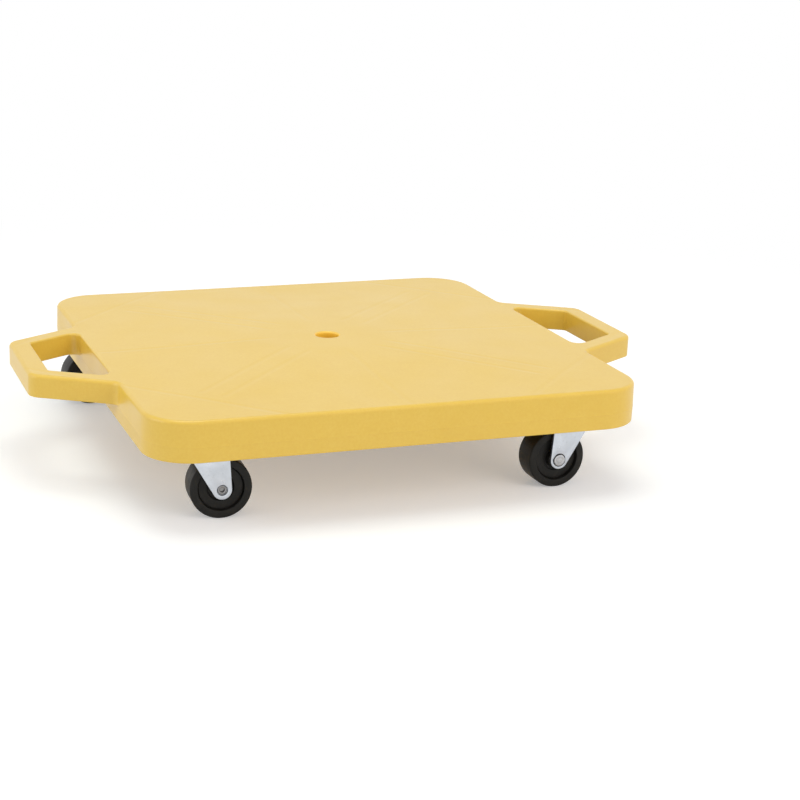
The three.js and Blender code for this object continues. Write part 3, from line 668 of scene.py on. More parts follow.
def handle_ring():
    """The ring round the right hand hole: a channel, open underneath, with thin webs across it.

    The outside's two root corners give way to the soft blends at the deck's face.
    """
    outer_corners = [(0, 1), (HANDLE_CORNER, 8), (HANDLE_CORNER, 8), (0, 1)]
    outside = handle_outline(DECK_HALF - HANDLE_ROOT, HANDLE_REACH,
                             HANDLE_ROOT_HALF, HANDLE_OUTER_HALF, outer_corners, slant_cuts=3)
    hole_corners = [(HAND_HOLE_ROOT_RADIUS, 12), (HAND_HOLE_OUTER_RADIUS, 8),
                    (HAND_HOLE_OUTER_RADIUS, 8), (HAND_HOLE_ROOT_RADIUS, 12)]
    hole = handle_outline(-HAND_HOLE_GAP, HANDLE_REACH - HANDLE_BAR,
                          HAND_HOLE_ROOT_HALF, HAND_HOLE_OUTER_HALF, hole_corners)

    def outer_ring(inset, height):
        slanted = [start + inwards * inset for start, inwards in outside[1:-1]]
        rear = root_blend(inset, height)
        front = [Vector((point.x, -point.y, 0)) for point in rear]
        return [point + Z_AXIS * height for point in front + slanted + rear[::-1]]

    def hole_ring(inset, height):
        ring = [start - inwards * inset for start, inwards in hole]
        return [Vector((max(point.x, DECK_HALF - HAND_HOLE_FACE), point.y, height)) for point in ring]

    rings = [outer_ring(*place) for place in rail_section(EDGE_RADIUS, EDGE_PARTS)]
    rings += [hole_ring(*place) for place in reversed(rail_section(HAND_HOLE_EDGE, HAND_HOLE_EDGE_PARTS))]
    rings.append(rings[0])
    bm = bmesh.new()
    order = bm.verts.layers.int.new("order")
    verts, edges = chain(bm, rings[0], closed=True)
    for k, vert in enumerate(verts):
        vert[order] = k
    for ring in rings[1:]:
        edges = drawn_on(bm, edges, lambda vert: ring[vert[order]])
    bmesh.ops.remove_doubles(bm, verts=bm.verts, dist=0.001)
    bmesh.ops.recalc_face_normals(bm, faces=bm.faces)
    web_bottom = RIM_HEIGHT - DECK_WALL - (HANDLE_DEPTH - DECK_WALL) * WEB_DEPTH_SHARE
    web_top = RIM_HEIGHT - DECK_WALL / 2
    size = Matrix.Diagonal((WEB_LENGTH, WEB_THICKNESS, web_top - web_bottom, 1))
    bar_middle = DECK_HALF + HANDLE_REACH - HANDLE_BAR / 2
    for y in WEB_PLACES:
        middle = Matrix.Translation((bar_middle, y, (web_top + web_bottom) / 2))
        bmesh.ops.create_cube(bm, size=1, matrix=middle @ size)
    return bm


def make_deck(material):
    """The whole moulding."""
    bm = deck_skin()
    for quarter in range(4):
        turn = Matrix.Rotation(quarter * QUARTER_TURN, 4, "Z")
        for start, end in quarter_ribs():
            add_to(bm, rib((turn @ start.to_3d()).to_2d(), (turn @ end.to_3d()).to_2d()))
        pad = corner_pad()
        bmesh.ops.transform(pad, matrix=Matrix.Rotation(QUARTER_TURN / 2, 4, "Z"), verts=pad.verts)
        bmesh.ops.translate(pad, vec=(CASTER_OFFSET, CASTER_OFFSET, 0), verts=pad.verts)
        bmesh.ops.transform(pad, matrix=turn, verts=pad.verts)
        add_to(bm, pad)
    for half_turn in (0, math.pi):
        ring = handle_ring()
        bmesh.ops.transform(ring, matrix=Matrix.Rotation(half_turn, 4, "Z"), verts=ring.verts)
        add_to(bm, ring)
    finished("deck_moulding", bm, "deck_body", "deck", material, sharp=30)


# Casters: each piece is drawn round its own kingpin axis, with the wheel trailing towards +X

def wheel():
    """Smooth tread, a stepped dish in each face and a hub that stands proud in its groove."""
    hub_groove = WHEEL_HALF - HUB_GROOVE_DEPTH
    disc = WHEEL_HALF - DISC_DEPTH
    rim_groove = WHEEL_HALF - RIM_GROOVE_DEPTH
    near = filleted([
        (WHEEL_BORE, HUB_HALF, 0), (HUB_RADIUS - HUB_DRAFT, HUB_HALF, 0.5), (HUB_RADIUS, hub_groove, 0.5),
        (HUB_GROOVE_RADIUS, hub_groove, 0.5), (HUB_GROOVE_RADIUS + HUB_DRAFT, disc, 0.35),
        (DISC_RADIUS, disc - DISC_FALL, 0.25), (DISC_RADIUS + 0.25, rim_groove, 0.2),
        (RIM_GROOVE_RADIUS - 0.35, rim_groove + 0.1, 0.2), (RIM_GROOVE_RADIUS, WHEEL_HALF, 0.35),
        (WHEEL_RADIUS, WHEEL_HALF, WHEEL_EDGE), (WHEEL_RADIUS, 0, 0),
    ])
    far = [Vector((point.x, -point.y)) for point in reversed(near)][1:]
    return turned(loop_of(near + far), Y_AXIS, 96, AXLE_MIDDLE)


def sleeve():
    """The tube that the wheel turns on."""
    section = filleted([
        (SLEEVE_BORE, -HUB_HALF, 0), (SLEEVE_RADIUS, -HUB_HALF, 0.2),
        (SLEEVE_RADIUS, HUB_HALF, 0.2), (SLEEVE_BORE, HUB_HALF, 0),
    ])
    return turned(loop_of(section), Y_AXIS, 40, AXLE_MIDDLE)


def axle_rivet():
    """A flat head with a ring pressed into it at one end, and a rolled hollow end at the other."""
    head = FORK_OUTER - HEAD_SEAT_DEPTH + SEAT_CLEARANCE
    roll = -(FORK_OUTER - ROLL_SEAT_DEPTH + SEAT_CLEARANCE)
    top = FORK_OUTER + AXLE_HEAD_RISE
    groove = top - AXLE_HEAD_GROOVE
    section = filleted([
        (0, roll + AXLE_HOLLOW_DEPTH, 0), (AXLE_HOLLOW - 0.1, roll + AXLE_HOLLOW_DEPTH, 0.3),
        (AXLE_HOLLOW, roll - 0.6, 0.5), (AXLE_ROLL - 1, roll - 1, 0.5), (AXLE_ROLL, roll - 0.2, 0.3),
        (AXLE_ROLL - 0.2, roll, 0.1), (AXLE_RADIUS, roll, 0), (AXLE_RADIUS, head, 0), (AXLE_HEAD, head, 0.15),
        (AXLE_HEAD, top - 0.3, 0.3), (AXLE_BUTTON + 1, top, 0.3), (AXLE_BUTTON + 0.6, groove, 0.25),
        (AXLE_BUTTON, groove, 0.25), (AXLE_BUTTON - 0.3, top - 0.05, 0.2), (0, top, 0),
    ], steps=3)
    return turned(section, Y_AXIS, 48, AXLE_MIDDLE)


def kingpin():
    """The pin riveted through plate and fork, with its head in the dish and its upset end underneath."""
    seat = DISH_BOTTOM + SHEET
    head_top = seat + KINGPIN_HEAD_HEIGHT
    upset = FORK_CEILING - TURNING_GAP
    upset_end = upset - KINGPIN_UPSET_HEIGHT
    section = filleted([
        (0, upset_end, 0), (KINGPIN_UPSET - 1.1, upset_end, 0.9), (KINGPIN_UPSET, upset - 0.6, 0.4),
        (KINGPIN_UPSET, upset, 0.1), (KINGPIN_RADIUS, upset, 0), (KINGPIN_RADIUS, seat, 0),
        (KINGPIN_HEAD, seat, 0.1), (KINGPIN_HEAD, seat + 1.3, 0.9), (KINGPIN_HEAD - 1.1, head_top, 0.6),
        (0, head_top, 0),
    ])
    return turned(section, Z_AXIS, 48)


def ball_ring():
    """The balls of the swivel race in their retainer."""
    inner, outer = (BALL_PITCH_RADIUS + side * RETAINER_HALF_WIDTH for side in (-1, 1))
    low, high = (BALL_CENTRE + side * RETAINER_HALF_HEIGHT for side in (-1, 1))
    section = filleted([(inner, low, 0), (outer, low, 0.2), (outer, high, 0.2), (inner, high, 0.2)])
    bm = turned(loop_of(section), Z_AXIS, 64)
    for i in range(BALL_COUNT):
        turn = Matrix.Rotation(FULL_TURN * i / BALL_COUNT, 3, "Z")
        place = turn @ (X_AXIS * BALL_PITCH_RADIUS) + Z_AXIS * BALL_CENTRE
        bmesh.ops.create_icosphere(bm, subdivisions=3, radius=BALL_RADIUS, matrix=Matrix.Translation(place))
    return bm


def screw():
    """Pan head, standing down from the plate, with a cross recess, and its shank."""
    top = PLATE_BOTTOM - SCREW_HEAD_HEIGHT
    end = PLATE_BOTTOM + SCREW_LENGTH
    section = filleted([
        (RECESS_RIM, top, 0), (SCREW_HEAD - 0.6, top + 0.25, 0.5), (SCREW_HEAD, PLATE_BOTTOM - 0.4, 0.5),
        (SCREW_HEAD, PLATE_BOTTOM, 0.1), (SCREW_RADIUS, PLATE_BOTTOM, 0),
        (SCREW_RADIUS, end - SCREW_TIP, 0.3), (0, end, 0),
    ], steps=3)
    bm = turned(section, Z_AXIS, 24)
    rim = edges_where(bm, lambda edge: edge.is_boundary)
    arm = [(RECESS_HALF, RECESS_ARM_HALF), (RECESS_ARM_HALF, RECESS_ARM_HALF), (RECESS_ARM_HALF, RECESS_HALF)]
    corners = []
    for quarter in range(4):
        turn = Matrix.Rotation(quarter * QUARTER_TURN, 2)
        corners += [(turn @ Vector(point)).to_3d() + Z_AXIS * top for point in arm]
    recess = chain(bm, corners, closed=True)[1]
    bmesh.ops.bridge_loops(bm, edges=rim + recess)
    floor_height = Z_AXIS * (top + RECESS_DEPTH)
    floor = drawn_on(bm, recess, lambda vert: flat(vert.co) * RECESS_TAPER + floor_height)
    bmesh.ops.holes_fill(bm, edges=floor)
    bmesh.ops.recalc_face_normals(bm, faces=bm.faces)
    return bm


def caster_plate():
    """Sheet with rounded corners, its race dished down from the middle, and its edges softened."""
    bm = bmesh.new()
    square = bmesh.ops.create_grid(bm, x_segments=1, y_segments=1, size=PLATE_HALF)["verts"]
    bmesh.ops.bevel(bm, geom=square, offset=PLATE_CORNER, offset_type="OFFSET", segments=6, profile=0.5,
                    affect="VERTICES", material=-1)
    bmesh.ops.delete(bm, geom=list(bm.faces), context="FACES_ONLY")
    sides = edges_where(bm, lambda edge: edge.calc_length() > PLATE_HALF)
    bmesh.ops.subdivide_edges(bm, edges=sides, cuts=5)
    outline = list(bm.edges)
    bend_start = DISH_MOUTH_RADIUS + DISH_BEND_RUN
    mouth_verts = bmesh.ops.create_circle(bm, segments=len(outline), radius=bend_start)["verts"]
    mouth = list({edge for vert in mouth_verts for edge in vert.link_edges})
    bmesh.ops.translate(bm, vec=(0, 0, PLATE_BOTTOM), verts=bm.verts)
    bmesh.ops.bridge_loops(bm, edges=outline + mouth)
    section = filleted([
        (bend_start, PLATE_BOTTOM, 0), (DISH_MOUTH_RADIUS, PLATE_BOTTOM, DISH_BEND),
        (DISH_FLOOR_RADIUS, DISH_BOTTOM, DISH_BEND), (KINGPIN_HOLE, DISH_BOTTOM, 0),
    ], steps=5)[1:]
    ring = mouth
    for point in section:
        ring = drawn_on(bm, ring, lambda vert: flat(vert.co).normalized() * point.x + Z_AXIS * point.y)
    bmesh.ops.recalc_face_normals(bm, faces=bm.faces)
    bm.normal_update()
    if max(bm.faces, key=lambda face: face.calc_area()).normal.z > 0:
        bmesh.ops.reverse_faces(bm, faces=bm.faces)
    thickened(bm, lambda vert: vert.co - vert.normal * SHEET)
    bm.normal_update()
    rounded(bm, edges_where(bm, lambda edge: edge.calc_face_angle(0) > 1), PLATE_EDGE, 2)
    return bm


def leg_outline():
    """Side view of a leg from its bend down: a slanted front edge, the round end and a steep rear edge."""
    top = FORK_TOP - FORK_BEND
    rise = top - AXLE_HEIGHT
    front = CASTER_TRAIL - rise * math.tan(LEG_SLANT) - LEG_END / math.cos(LEG_SLANT)
    rear = CASTER_TRAIL + LEG_END / math.cos(LEG_REAR_SLANT) - rise * math.tan(LEG_REAR_SLANT)
    first = LEG_SLANT - math.pi
    sweep = math.pi - LEG_SLANT + LEG_REAR_SLANT
    arc = []
    for i in range(LEG_ARC_PARTS + 1):
        angle = first + sweep * i / LEG_ARC_PARTS
        along = CASTER_TRAIL + math.cos(angle) * LEG_END
        arc.append(Vector((along, 0, AXLE_HEIGHT + math.sin(angle) * LEG_END)))
    return [Vector((front, 0, top))] + arc + [Vector((rear, 0, top))]


def fork_half(seat, seat_depth):
    """Outer skin of one leg, its bend and half of the crown, with the coined seat round the axle hole."""
    def in_seat(vert, radius):
        away = Vector((vert.co.x, 0, vert.co.z)) - AXLE_MIDDLE
        return AXLE_MIDDLE + away.normalized() * radius + Y_AXIS * (FORK_OUTER - seat_depth)

    bm = bmesh.new()
    verts, edges = chain(bm, leg_outline(), closed=True)
    upright = Matrix.Rotation(QUARTER_TURN, 4, "X")
    ring_verts = bmesh.ops.create_circle(bm, segments=32, radius=seat, matrix=upright)["verts"]
    bmesh.ops.translate(bm, vec=AXLE_MIDDLE, verts=ring_verts)
    ring = list({edge for vert in ring_verts for edge in vert.link_edges})
    bmesh.ops.bridge_loops(bm, edges=edges + ring)
    bmesh.ops.translate(bm, vec=(0, FORK_OUTER, 0), verts=bm.verts)
    ring = drawn_on(bm, ring, lambda vert: in_seat(vert, seat - SEAT_DRAFT))
    ring = drawn_on(bm, ring, lambda vert: in_seat(vert, PIN_HOLE))
    top_edge = edges[-1]
    bend_centre = (0, FORK_OUTER - FORK_BEND, FORK_TOP - FORK_BEND)
    bend = bmesh.ops.spin(bm, geom=[top_edge, *top_edge.verts], cent=bend_centre, axis=X_AXIS,
                          angle=QUARTER_TURN, steps=FORK_BEND_PARTS, use_duplicate=False)
    last = [part for part in bend["geom_last"] if isinstance(part, bmesh.types.BMEdge)]
    drawn_on(bm, last, lambda vert: Vector((vert.co.x, 0, vert.co.z)))
    return bm


def inside_of_sheet(vert):
    """The place on the sheet's inner face that belongs to a point of its outer face."""
    side = math.copysign(1, vert.co.y)
    bend_y = FORK_OUTER - FORK_BEND
    bend_z = FORK_TOP - FORK_BEND
    if vert.co.z <= bend_z + 0.001:
        return Vector((vert.co.x, side * FORK_INNER, vert.co.z))
    if abs(vert.co.y) > bend_y:
        centre = Vector((vert.co.x, side * bend_y, bend_z))
        return centre + (vert.co - centre).normalized() * (FORK_BEND - SHEET)
    return vert.co - Z_AXIS * SHEET


def fork():
    """The folded sheet with its two legs, and the race cup drawn up from its crown."""
    whole = bmesh.new()
    add_to(whole, fork_half(HEAD_SEAT, HEAD_SEAT_DEPTH))
    other = fork_half(ROLL_SEAT, ROLL_SEAT_DEPTH)
    bmesh.ops.scale(other, vec=(1, -1, 1), verts=other.verts)
    add_to(whole, other)
    bmesh.ops.remove_doubles(whole, verts=whole.verts, dist=0.01)
    bmesh.ops.recalc_face_normals(whole, faces=whole.faces)
    whole.normal_update()
    crown = max(whole.faces, key=lambda face: face.calc_center_median().z)
    if crown.normal.z < 0:
        bmesh.ops.reverse_faces(whole, faces=whole.faces)
    thickened(whole, inside_of_sheet)
    whole.normal_update()
    rounded(whole, edges_where(whole, lambda edge: edge.calc_face_angle(0) > 0.9), FORK_EDGE, 2)
    low = FORK_CEILING - RACE_LAP
    floor = FORK_TOP + RACE_LAP
    rim = FORK_TOP + RACE_RIM
    section = filleted([
        (KINGPIN_HOLE, low, 0), (RACE_RADIUS, low, 2.2), (RACE_RADIUS, rim, 0.6),
        (RACE_RADIUS - RACE_WALL, rim, 0.6), (RACE_RADIUS - RACE_WALL, floor, 1), (KINGPIN_HOLE, floor, 0),
    ], steps=5)
    add_to(whole, turned(loop_of(section), Z_AXIS, 64))
    return whole


def painted_shade_in_seats(co):
    """Painted shade round the axle rivet, dark and brownish: most in the rolled end's seat, some under the
    head.
    """
    away = math.hypot(co.x - CASTER_TRAIL, co.z - AXLE_HEIGHT)
    if away > ROLL_SEAT + 0.1 and co.y < 0 or away > HEAD_SEAT + 0.1:
        return 0.0
    in_roll_seat = co.y + FORK_OUTER
    if -0.5 < in_roll_seat < 5:
        return min(0.6, max(0.0, (in_roll_seat - 0.1) / 0.9))
    return 1.0 if 0 < co.y < FORK_OUTER - 0.2 else 0.0


def make_casters(finishes):
    """Every piece of the four casters, in its place and on its body."""
    for name, (x, y, degrees) in CASTERS.items():
        fixed = Matrix.Translation((x, y, 0)) @ Matrix.Rotation(QUARTER_TURN / 2, 4, "Z")
        turning = Matrix.Translation((x, y, 0)) @ Matrix.Rotation(math.radians(degrees), 4, "Z")
        swivel = f"{name}_swivel_body"
        pieces = [
            ("fork_folded", fork(), swivel, "fork", "zinc_steel", turning),
            ("sleeve_tube", sleeve(), swivel, "axle_sleeve", "rivet_steel", turning),
            ("rivet_pressed", axle_rivet(), swivel, "axle_rivet", "rivet_steel", turning),
            ("wheel_moulded", wheel(), f"{name}_wheel_body", "wheel", "wheel_plastic", turning),
            ("balls_in_retainer", ball_ring(), f"{name}_ball_body", "ball_ring", "ball_steel", turning),
            ("plate_dished", caster_plate(), "deck_body", "caster_plate", "zinc_steel", fixed),
            ("kingpin_riveted", kingpin(), "deck_body", "kingpin", "rivet_steel", fixed),
        ]
        for i, (side_x, side_y) in enumerate([(1, 1), (-1, 1), (-1, -1), (1, -1)], start=1):
            at = fixed @ Matrix.Translation((side_x * SCREW_HALF_PITCH, side_y * SCREW_HALF_PITCH, 0))
            pieces.append((f"screw_{i}", screw(), "deck_body", f"plate_screw_{i}", "screw_steel", at))
        for suffix, bm, body, node, slot, place in pieces:
            # the seats of the fork and of the axle rivet get painted shade
            seat_shade = painted_shade_in_seats if node in ("fork", "axle_rivet") else None
            finished(f"{name}_{suffix}", bm, body, f"{name}_{node}", finishes[slot],
                     place=place, seat_shade=seat_shade)


# Finishes

SINK_HALF_WIDTH = 4.5
SINK_DEPTH = 0.16
SINK_START = (102, 112)
SINK_END = (214, 222)


class Nodes:
    """Short ways to add and join the nodes of a material or of the world."""

    def __init__(self, tree):
        self.tree = tree

    def node(self, kind, **values):
        """A new node with some of its values set."""
        node = self.tree.nodes.new(kind)
        for key, value in values.items():
            setattr(node, key, value)
        return node

    def join(self, output, target):
        """A link from an output to a socket."""
        self.tree.links.new(output, target)

    def spread(self, value, low, high, to_low, to_high, smooth=False):
        """A value from low to high laid onto the range from to_low to to_high."""
        spread = self.node("ShaderNodeMapRange", interpolation_type="SMOOTHSTEP" if smooth else "LINEAR")
        for key, number in (("From Min", low), ("From Max", high), ("To Min", to_low), ("To Max", to_high)):
            spread.inputs[key].default_value = number
        self.join(value, spread.inputs["Value"])
        return spread.outputs["Result"]

    def combined(self, operation, *values):
        """The result of a sum on outputs and numbers."""
        node = self.node("ShaderNodeMath", operation=operation)
        for socket, value in zip(node.inputs, values):
            if isinstance(value, (int, float)):
                socket.default_value = value
            else:
                self.join(value, socket)
        return node.outputs[0]

    def length(self, place):
        """How far a place lies from the origin."""
        node = self.node("ShaderNodeVectorMath", operation="LENGTH")
        self.join(place, node.inputs[0])
        return node.outputs["Value"]

    def shown(self, in_gloss=1.0):
        """1 where the camera looks at a surface, and in_gloss where a glossy face mirrors it."""
        rays = self.node("ShaderNodeLightPath")
        mirrored = self.combined("MULTIPLY", rays.outputs["Is Glossy Ray"], in_gloss)
        seen = self.combined("MAXIMUM", rays.outputs["Is Camera Ray"], mirrored)
        return self.combined("MAXIMUM", seen, rays.outputs["Is Transmission Ray"])


class Finish(Nodes):
    """A material on one shader, with patterns that follow the object's own coordinates."""

    def __init__(self, name, metallic=0.0):
        self.material = bpy.data.materials.new(name)
        self.material.use_nodes = True
        super().__init__(self.material.node_tree)
        self.shader = self.tree.nodes["Principled BSDF"]
        self.shader.inputs["Metallic"].default_value = metallic
        self.place = self.node("ShaderNodeTexCoord").outputs["Object"]

    def mapped(self, scale):
        """The object's coordinates stretched or flattened along its axes."""
        mapping = self.node("ShaderNodeMapping")
        mapping.inputs["Scale"].default_value = scale
        self.join(self.place, mapping.inputs["Vector"])
        return mapping.outputs["Vector"]

    def noise(self, scale, detail, rough=0.55, place=None):
        """A cloudy pattern from 0 to 1."""
        noise = self.node("ShaderNodeTexNoise")
        noise.inputs["Scale"].default_value = scale
        noise.inputs["Detail"].default_value = detail
        noise.inputs["Roughness"].default_value = rough
        self.join(place or self.place, noise.inputs["Vector"])
        return noise.outputs["Fac"]

    def blended(self, factor, first, second):
        """A colour between two others."""
        mix = self.node("ShaderNodeMix", data_type="RGBA")
        self.join(factor, mix.inputs["Factor"])
        for socket, colour in ((mix.inputs[6], first), (mix.inputs[7], second)):
            if isinstance(colour, tuple):
                socket.default_value = (*colour, 1)
            else:
                self.join(colour, socket)
        return mix.outputs[2]

    def colour(self, output):
        """The surface's colour."""
        self.join(output, self.shader.inputs["Base Color"])

    def roughness(self, output):
        """The surface's roughness."""
        self.join(output, self.shader.inputs["Roughness"])

    def relief(self, height, distance, strength=1.0, under=None):
        """A fine relief of a depth in millimetres, laid over another one."""
        bump = self.node("ShaderNodeBump")
        bump.inputs["Strength"].default_value = strength
        bump.inputs["Distance"].default_value = distance * MM
        self.join(height, bump.inputs["Height"])
        if under is not None:
            self.join(under, bump.inputs["Normal"])
        self.join(bump.outputs["Normal"], self.shader.inputs["Normal"])
        return bump.outputs["Normal"]


def sinks_over_ribs(finish):
    """Where the top sinks a little over the ribs beneath it: 1 on a rib's middle line, 0 away from it."""
    def near(distance):
        return finish.spread(distance, 0, SINK_HALF_WIDTH, 1, 0, smooth=True)

    split = finish.node("ShaderNodeSeparateXYZ")
    millimetres = finish.mapped((1 / MM, 1 / MM, 1 / MM))
    finish.join(millimetres, split.inputs[0])
    x, y = (finish.combined("ABSOLUTE", split.outputs[axis]) for axis in (0, 1))
    along = finish.combined("DIVIDE", finish.combined("ADD", x, y), ROOT_TWO)
    across = finish.combined("DIVIDE", finish.combined("SUBTRACT", x, y), ROOT_TWO)
    off_pair = finish.combined("SUBTRACT", finish.combined("ABSOLUTE", across), PAIR_HALF)
    off_cross = finish.combined("SUBTRACT", along, CASTER_OFFSET * ROOT_TWO - CROSS_SETBACK)
    to_pair = finish.combined("ABSOLUTE", off_pair)
    to_cross = finish.combined("ABSOLUTE", off_cross)
    to_rib = finish.combined("MINIMUM", finish.combined("MINIMUM", x, y), to_pair)
    from_middle = finish.length(millimetres)
    begins = finish.spread(from_middle, *SINK_START, 0, 1, smooth=True)
    ends = finish.spread(from_middle, *SINK_END, 1, 0, smooth=True)
    over_rib = finish.combined("MULTIPLY", near(to_rib), finish.combined("MULTIPLY", begins, ends))
    normal = finish.node("ShaderNodeSeparateXYZ")
    finish.join(finish.node("ShaderNodeNewGeometry").outputs["Normal"], normal.inputs[0])
    on_top = finish.spread(normal.outputs[2], 0.9, 0.99, 0, 1)
    return finish.combined("MULTIPLY", finish.combined("MAXIMUM", over_rib, near(to_cross)), on_top)


def painted_glow_in_hole(finish):
    """Where the middle hole's wall is painted a brighter yellow, a painted glow for light through its thin
    wall: 1 on the wall, 0 on the top.
    """
    from_axis = finish.length(finish.mapped((1 / MM, 1 / MM, 0)))
    return finish.spread(from_axis, HOLE_RADIUS + 0.2, HOLE_RADIUS + HOLE_EDGE, 1, 0)


def moulded_yellow():
    """Satin yellow plastic: slow colour drift, fine moulded grain, soft sinks over the ribs with painted
    shade along them, and a painted glow on the middle hole's wall.
    """
    finish = Finish("deck_yellow_plastic")
    finish.shader.inputs["IOR"].default_value = 1.5
    finish.shader.inputs["Specular IOR Level"].default_value = 0.6
    fresh = (0.805, 0.545, 0.080)
    handled = (0.780, 0.520, 0.070)
    chalky = (0.82, 0.565, 0.098)
    speckled = (0.76, 0.48, 0.062)
    painted_hole_glow = (1.0, 0.63, 0.070)
    painted_sink_shade = (0.72, 0.45, 0.055)
    drift = finish.noise(7, 2)
    cloud = finish.noise(60, 4, 0.6)
    speck = finish.noise(420, 3, 0.7)
    sink = sinks_over_ribs(finish)
    base = finish.blended(finish.spread(drift, 0.3, 0.7, 0, 1), fresh, handled)
    base = finish.blended(finish.spread(cloud, 0.35, 0.75, 0, 0.5), base, chalky)
    base = finish.blended(finish.spread(speck, 0.35, 0.65, 0, 0.5), base, speckled)
    # painted glow: the middle hole's wall turns a brighter yellow, standing in for light through its thin
    # wall
    base = finish.blended(painted_glow_in_hole(finish), base, painted_hole_glow)
    # painted shade: the colour darkens a little along the sinks over the ribs
    finish.colour(finish.blended(finish.spread(sink, 0, 1, 0, 0.05), base, painted_sink_shade))

    streaks = finish.noise(1, 3, 0.6, finish.mapped((500, 500, 30)))
    grain = finish.noise(650, 2, 0.5)
    coarse = finish.combined("MULTIPLY", grain, 0.7)
    height = finish.combined("ADD", coarse, finish.combined("MULTIPLY", streaks, 0.3))
    moulded = finish.relief(height, 0.05, 0.3)
    finish.relief(finish.combined("SUBTRACT", 1.0, sink), SINK_DEPTH, under=moulded)
    patches = finish.noise(24, 1, 0.4)
    finish.roughness(finish.spread(patches, 0.25, 0.75, 0.28, 0.34))
    return finish.material


def moulded_black():
    """Near-black wheel plastic: fine grain, dust greyed into the tread and faint turned rings."""
    finish = Finish("wheel_black_plastic")
    finish.shader.inputs["Specular IOR Level"].default_value = 0.24
    clean = (0.0090, 0.0087, 0.0074)
    dusty = (0.0180, 0.0165, 0.0135)
    scratched = (0.045, 0.040, 0.034)
    dust = finish.noise(90, 4, 0.65)
    fine = finish.noise(2200, 2, 0.5)
    wear = finish.noise(1, 4, 0.6, finish.mapped((120, 700, 120)))
    base = finish.blended(finish.spread(dust, 0.4, 0.72, 0, 1), clean, dusty)
    finish.colour(finish.blended(finish.spread(fine, 0.62, 0.8, 0, 0.4), base, scratched))
    finish.roughness(finish.spread(wear, 0.3, 0.75, 0.36, 0.56))
    finish.relief(finish.combined("ADD", fine, finish.combined("MULTIPLY", wear, 0.6)), 0.05, 0.5)
    return finish.material


def zinc_plated(name, light, dark, smoothest, roughest):
    """Bare or zinc-plated steel, cloudy between two colours and two roughnesses, with painted shade in its
    seats.
    """
    finish = Finish(name, metallic=1.0)
    dull = tuple(0.7 * part for part in dark)
    painted_seat_shade = (0.085, 0.065, 0.045)
    cloud = finish.noise(70, 4, 0.6)
    spots = finish.noise(520, 3, 0.6)
    drawn = finish.noise(1, 3, 0.6, finish.mapped((260, 260, 2600)))
    seat_shade_amount = finish.node("ShaderNodeAttribute", attribute_name="seat_shade").outputs["Fac"]
    base = finish.blended(finish.spread(cloud, 0.32, 0.7, 0, 1), light, dark)
    base = finish.blended(finish.spread(spots, 0.6, 0.78, 0, 0.45), base, dull)
    # painted shade: the rivet seats are darkened towards a dark brown, as far as the float layer on the mesh
    # says
    finish.colour(finish.blended(finish.combined("MULTIPLY", seat_shade_amount, 0.8), base, painted_seat_shade))
    cloudy = finish.combined("MULTIPLY", cloud, 0.6)
    mixed = finish.combined("ADD", cloudy, finish.combined("MULTIPLY", drawn, 0.4))
    finish.roughness(finish.spread(mixed, 0.35, 0.65, smoothest, roughest))
    finish.relief(finish.combined("ADD", drawn, finish.combined("MULTIPLY", spots, 0.5)), 0.03, 0.5)
    return finish.material


# Floor, light and camera, in metres

FLOOR_HALF = 5
FLOOR_COLOUR = (0.82, 0.82, 0.82, 1)
FLOOR_LIFT = 0.3
FLOOR_IN_GLOSS = 0.7
FLOOR_FADE = (0.45, 1.0)
WHITE = (1, 1, 1, 1)
WORLD_LIGHT = 0.55
LAMP_TARGET = Vector((0, 0, 0.06))
CAMERA_LENS = 79.013
CAMERA_SENSOR = 36
CAMERA_SHIFT = 0.1
CAMERA_PLACE = (-0.483321, -1.381732, 0.477563)
CAMERA_TURN = (73.1309, -1.4608, -18.6536)


def pale_floor():
    """A pale finish that keeps the board's shadow and turns plain white away from it."""
    finish = Finish("pale_floor")
    finish.shader.inputs["Base Color"].default_value = FLOOR_COLOUR
    finish.shader.inputs["Roughness"].default_value = 1.0
    finish.shader.inputs["Specular IOR Level"].default_value = 0.0
    finish.shader.inputs["Emission Color"].default_value = WHITE
    seen = finish.shown(FLOOR_IN_GLOSS)
    finish.join(finish.combined("MULTIPLY", seen, FLOOR_LIFT), finish.shader.inputs["Emission Strength"])
    away = finish.spread(finish.length(finish.place), *FLOOR_FADE, 0, 1, smooth=True)
    blend = finish.node("ShaderNodeMixShader")
    finish.join(finish.combined("MULTIPLY", away, seen), blend.inputs[0])
    finish.join(finish.shader.outputs[0], blend.inputs[1])
    finish.join(finish.node("ShaderNodeEmission").outputs[0], blend.inputs[2])
    finish.join(blend.outputs[0], finish.tree.nodes["Material Output"].inputs["Surface"])
    return finish.material


def make_floor():
    """The ground that the wheels stand on."""
    bm = bmesh.new()
    bmesh.ops.create_grid(bm, x_segments=1, y_segments=1, size=FLOOR_HALF)
    mesh = bpy.data.meshes.new("floor")
    bm.to_mesh(mesh)
    bm.free()
    mesh.materials.append(pale_floor())
    floor = bpy.data.objects.new("floor", mesh)
    scene.collection.objects.link(floor)
    floor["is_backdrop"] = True


def make_world():
    """White all round where it is seen or mirrored, and an even soft light on the board."""
    world = bpy.data.worlds.new("studio")
    world.use_nodes = True
    scene.world = world
    nodes = Nodes(world.node_tree)
    background = nodes.tree.nodes["Background"]
    background.inputs["Color"].default_value = WHITE
    strength = nodes.spread(nodes.shown(), 0, 1, WORLD_LIGHT, 1)
    nodes.join(strength, background.inputs["Strength"])


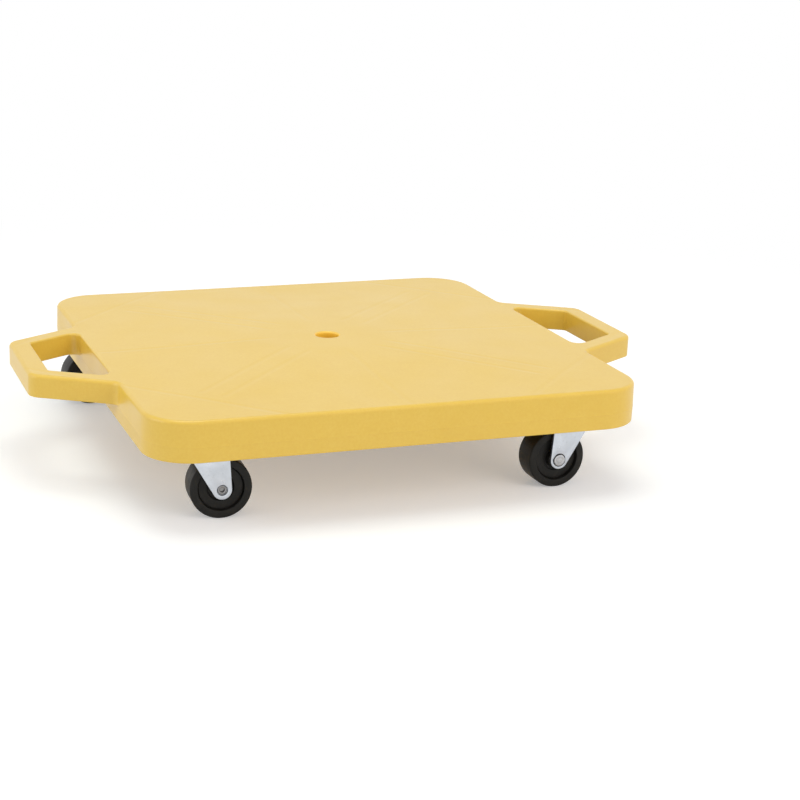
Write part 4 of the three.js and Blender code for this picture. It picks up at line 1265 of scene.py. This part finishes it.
def soft_lamp(name, place, size, power, colour, mirrored=True):
    """A square soft light aimed at the board; unless mirrored, glossy faces do not show it."""
    lamp = bpy.data.lights.new(name, "AREA")
    lamp.size = size
    lamp.energy = power
    lamp.color = colour
    holder = bpy.data.objects.new(name, lamp)
    scene.collection.objects.link(holder)
    holder.location = place
    holder.rotation_euler = (LAMP_TARGET - Vector(place)).to_track_quat("-Z", "Y").to_euler()
    holder.visible_glossy = mirrored


def make_camera():
    """The photograph's view: from the front left and a little above."""
    camera = bpy.data.cameras.new("camera")
    camera.sensor_width = CAMERA_SENSOR
    camera.lens = CAMERA_LENS
    camera.shift_x = CAMERA_SHIFT
    camera.clip_end = 50
    holder = bpy.data.objects.new("camera", camera)
    scene.collection.objects.link(holder)
    turn = Euler([math.radians(angle) for angle in CAMERA_TURN])
    holder.matrix_world = Matrix.Translation(CAMERA_PLACE) @ turn.to_matrix().to_4x4()
    scene.camera = holder


def plain(value):
    """Corner points as plain lists of numbers."""
    if hasattr(value, "__len__"):
        return [plain(part) for part in value]
    return float(value)


# The board in its studio

finishes = {
    "deck_plastic": moulded_yellow(),
    "wheel_plastic": moulded_black(),
    "zinc_steel": zinc_plated("fork_zinc_plate", light=(0.665, 0.70, 0.765), dark=(0.565, 0.60, 0.655),
                              smoothest=0.26, roughest=0.42),
    "rivet_steel": zinc_plated("rivet_zinc_plate", light=(0.62, 0.63, 0.65), dark=(0.50, 0.50, 0.51),
                               smoothest=0.28, roughest=0.46),
    "screw_steel": zinc_plated("screw_zinc_plate", light=(0.64, 0.65, 0.67), dark=(0.50, 0.51, 0.53),
                               smoothest=0.26, roughest=0.42),
    "ball_steel": zinc_plated("ball_polished_steel", light=(0.80, 0.80, 0.81), dark=(0.70, 0.70, 0.71),
                              smoothest=0.10, roughest=0.20),
}

make_deck(finishes["deck_plastic"])
make_casters(finishes)
make_floor()
make_world()
soft_lamp("overhead_softbox", (-0.15, 0.1, 2.4), size=1.4, power=17.9, colour=(0.915, 1.0, 0.975))
soft_lamp("front_softbox", (1.3, -2.25, 1.4), size=2.0, power=30, colour=(1.0, 0.925, 0.90), mirrored=False)
soft_lamp("left_softbox", (-2.4, 0.1, 0.9), size=1.6, power=16.5, colour=(1.0, 0.965, 0.92))
make_camera()
scene.view_settings.view_transform = "Standard"

board_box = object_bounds()
{"cad": plain(cad_box), "scene": plain(board_box)}
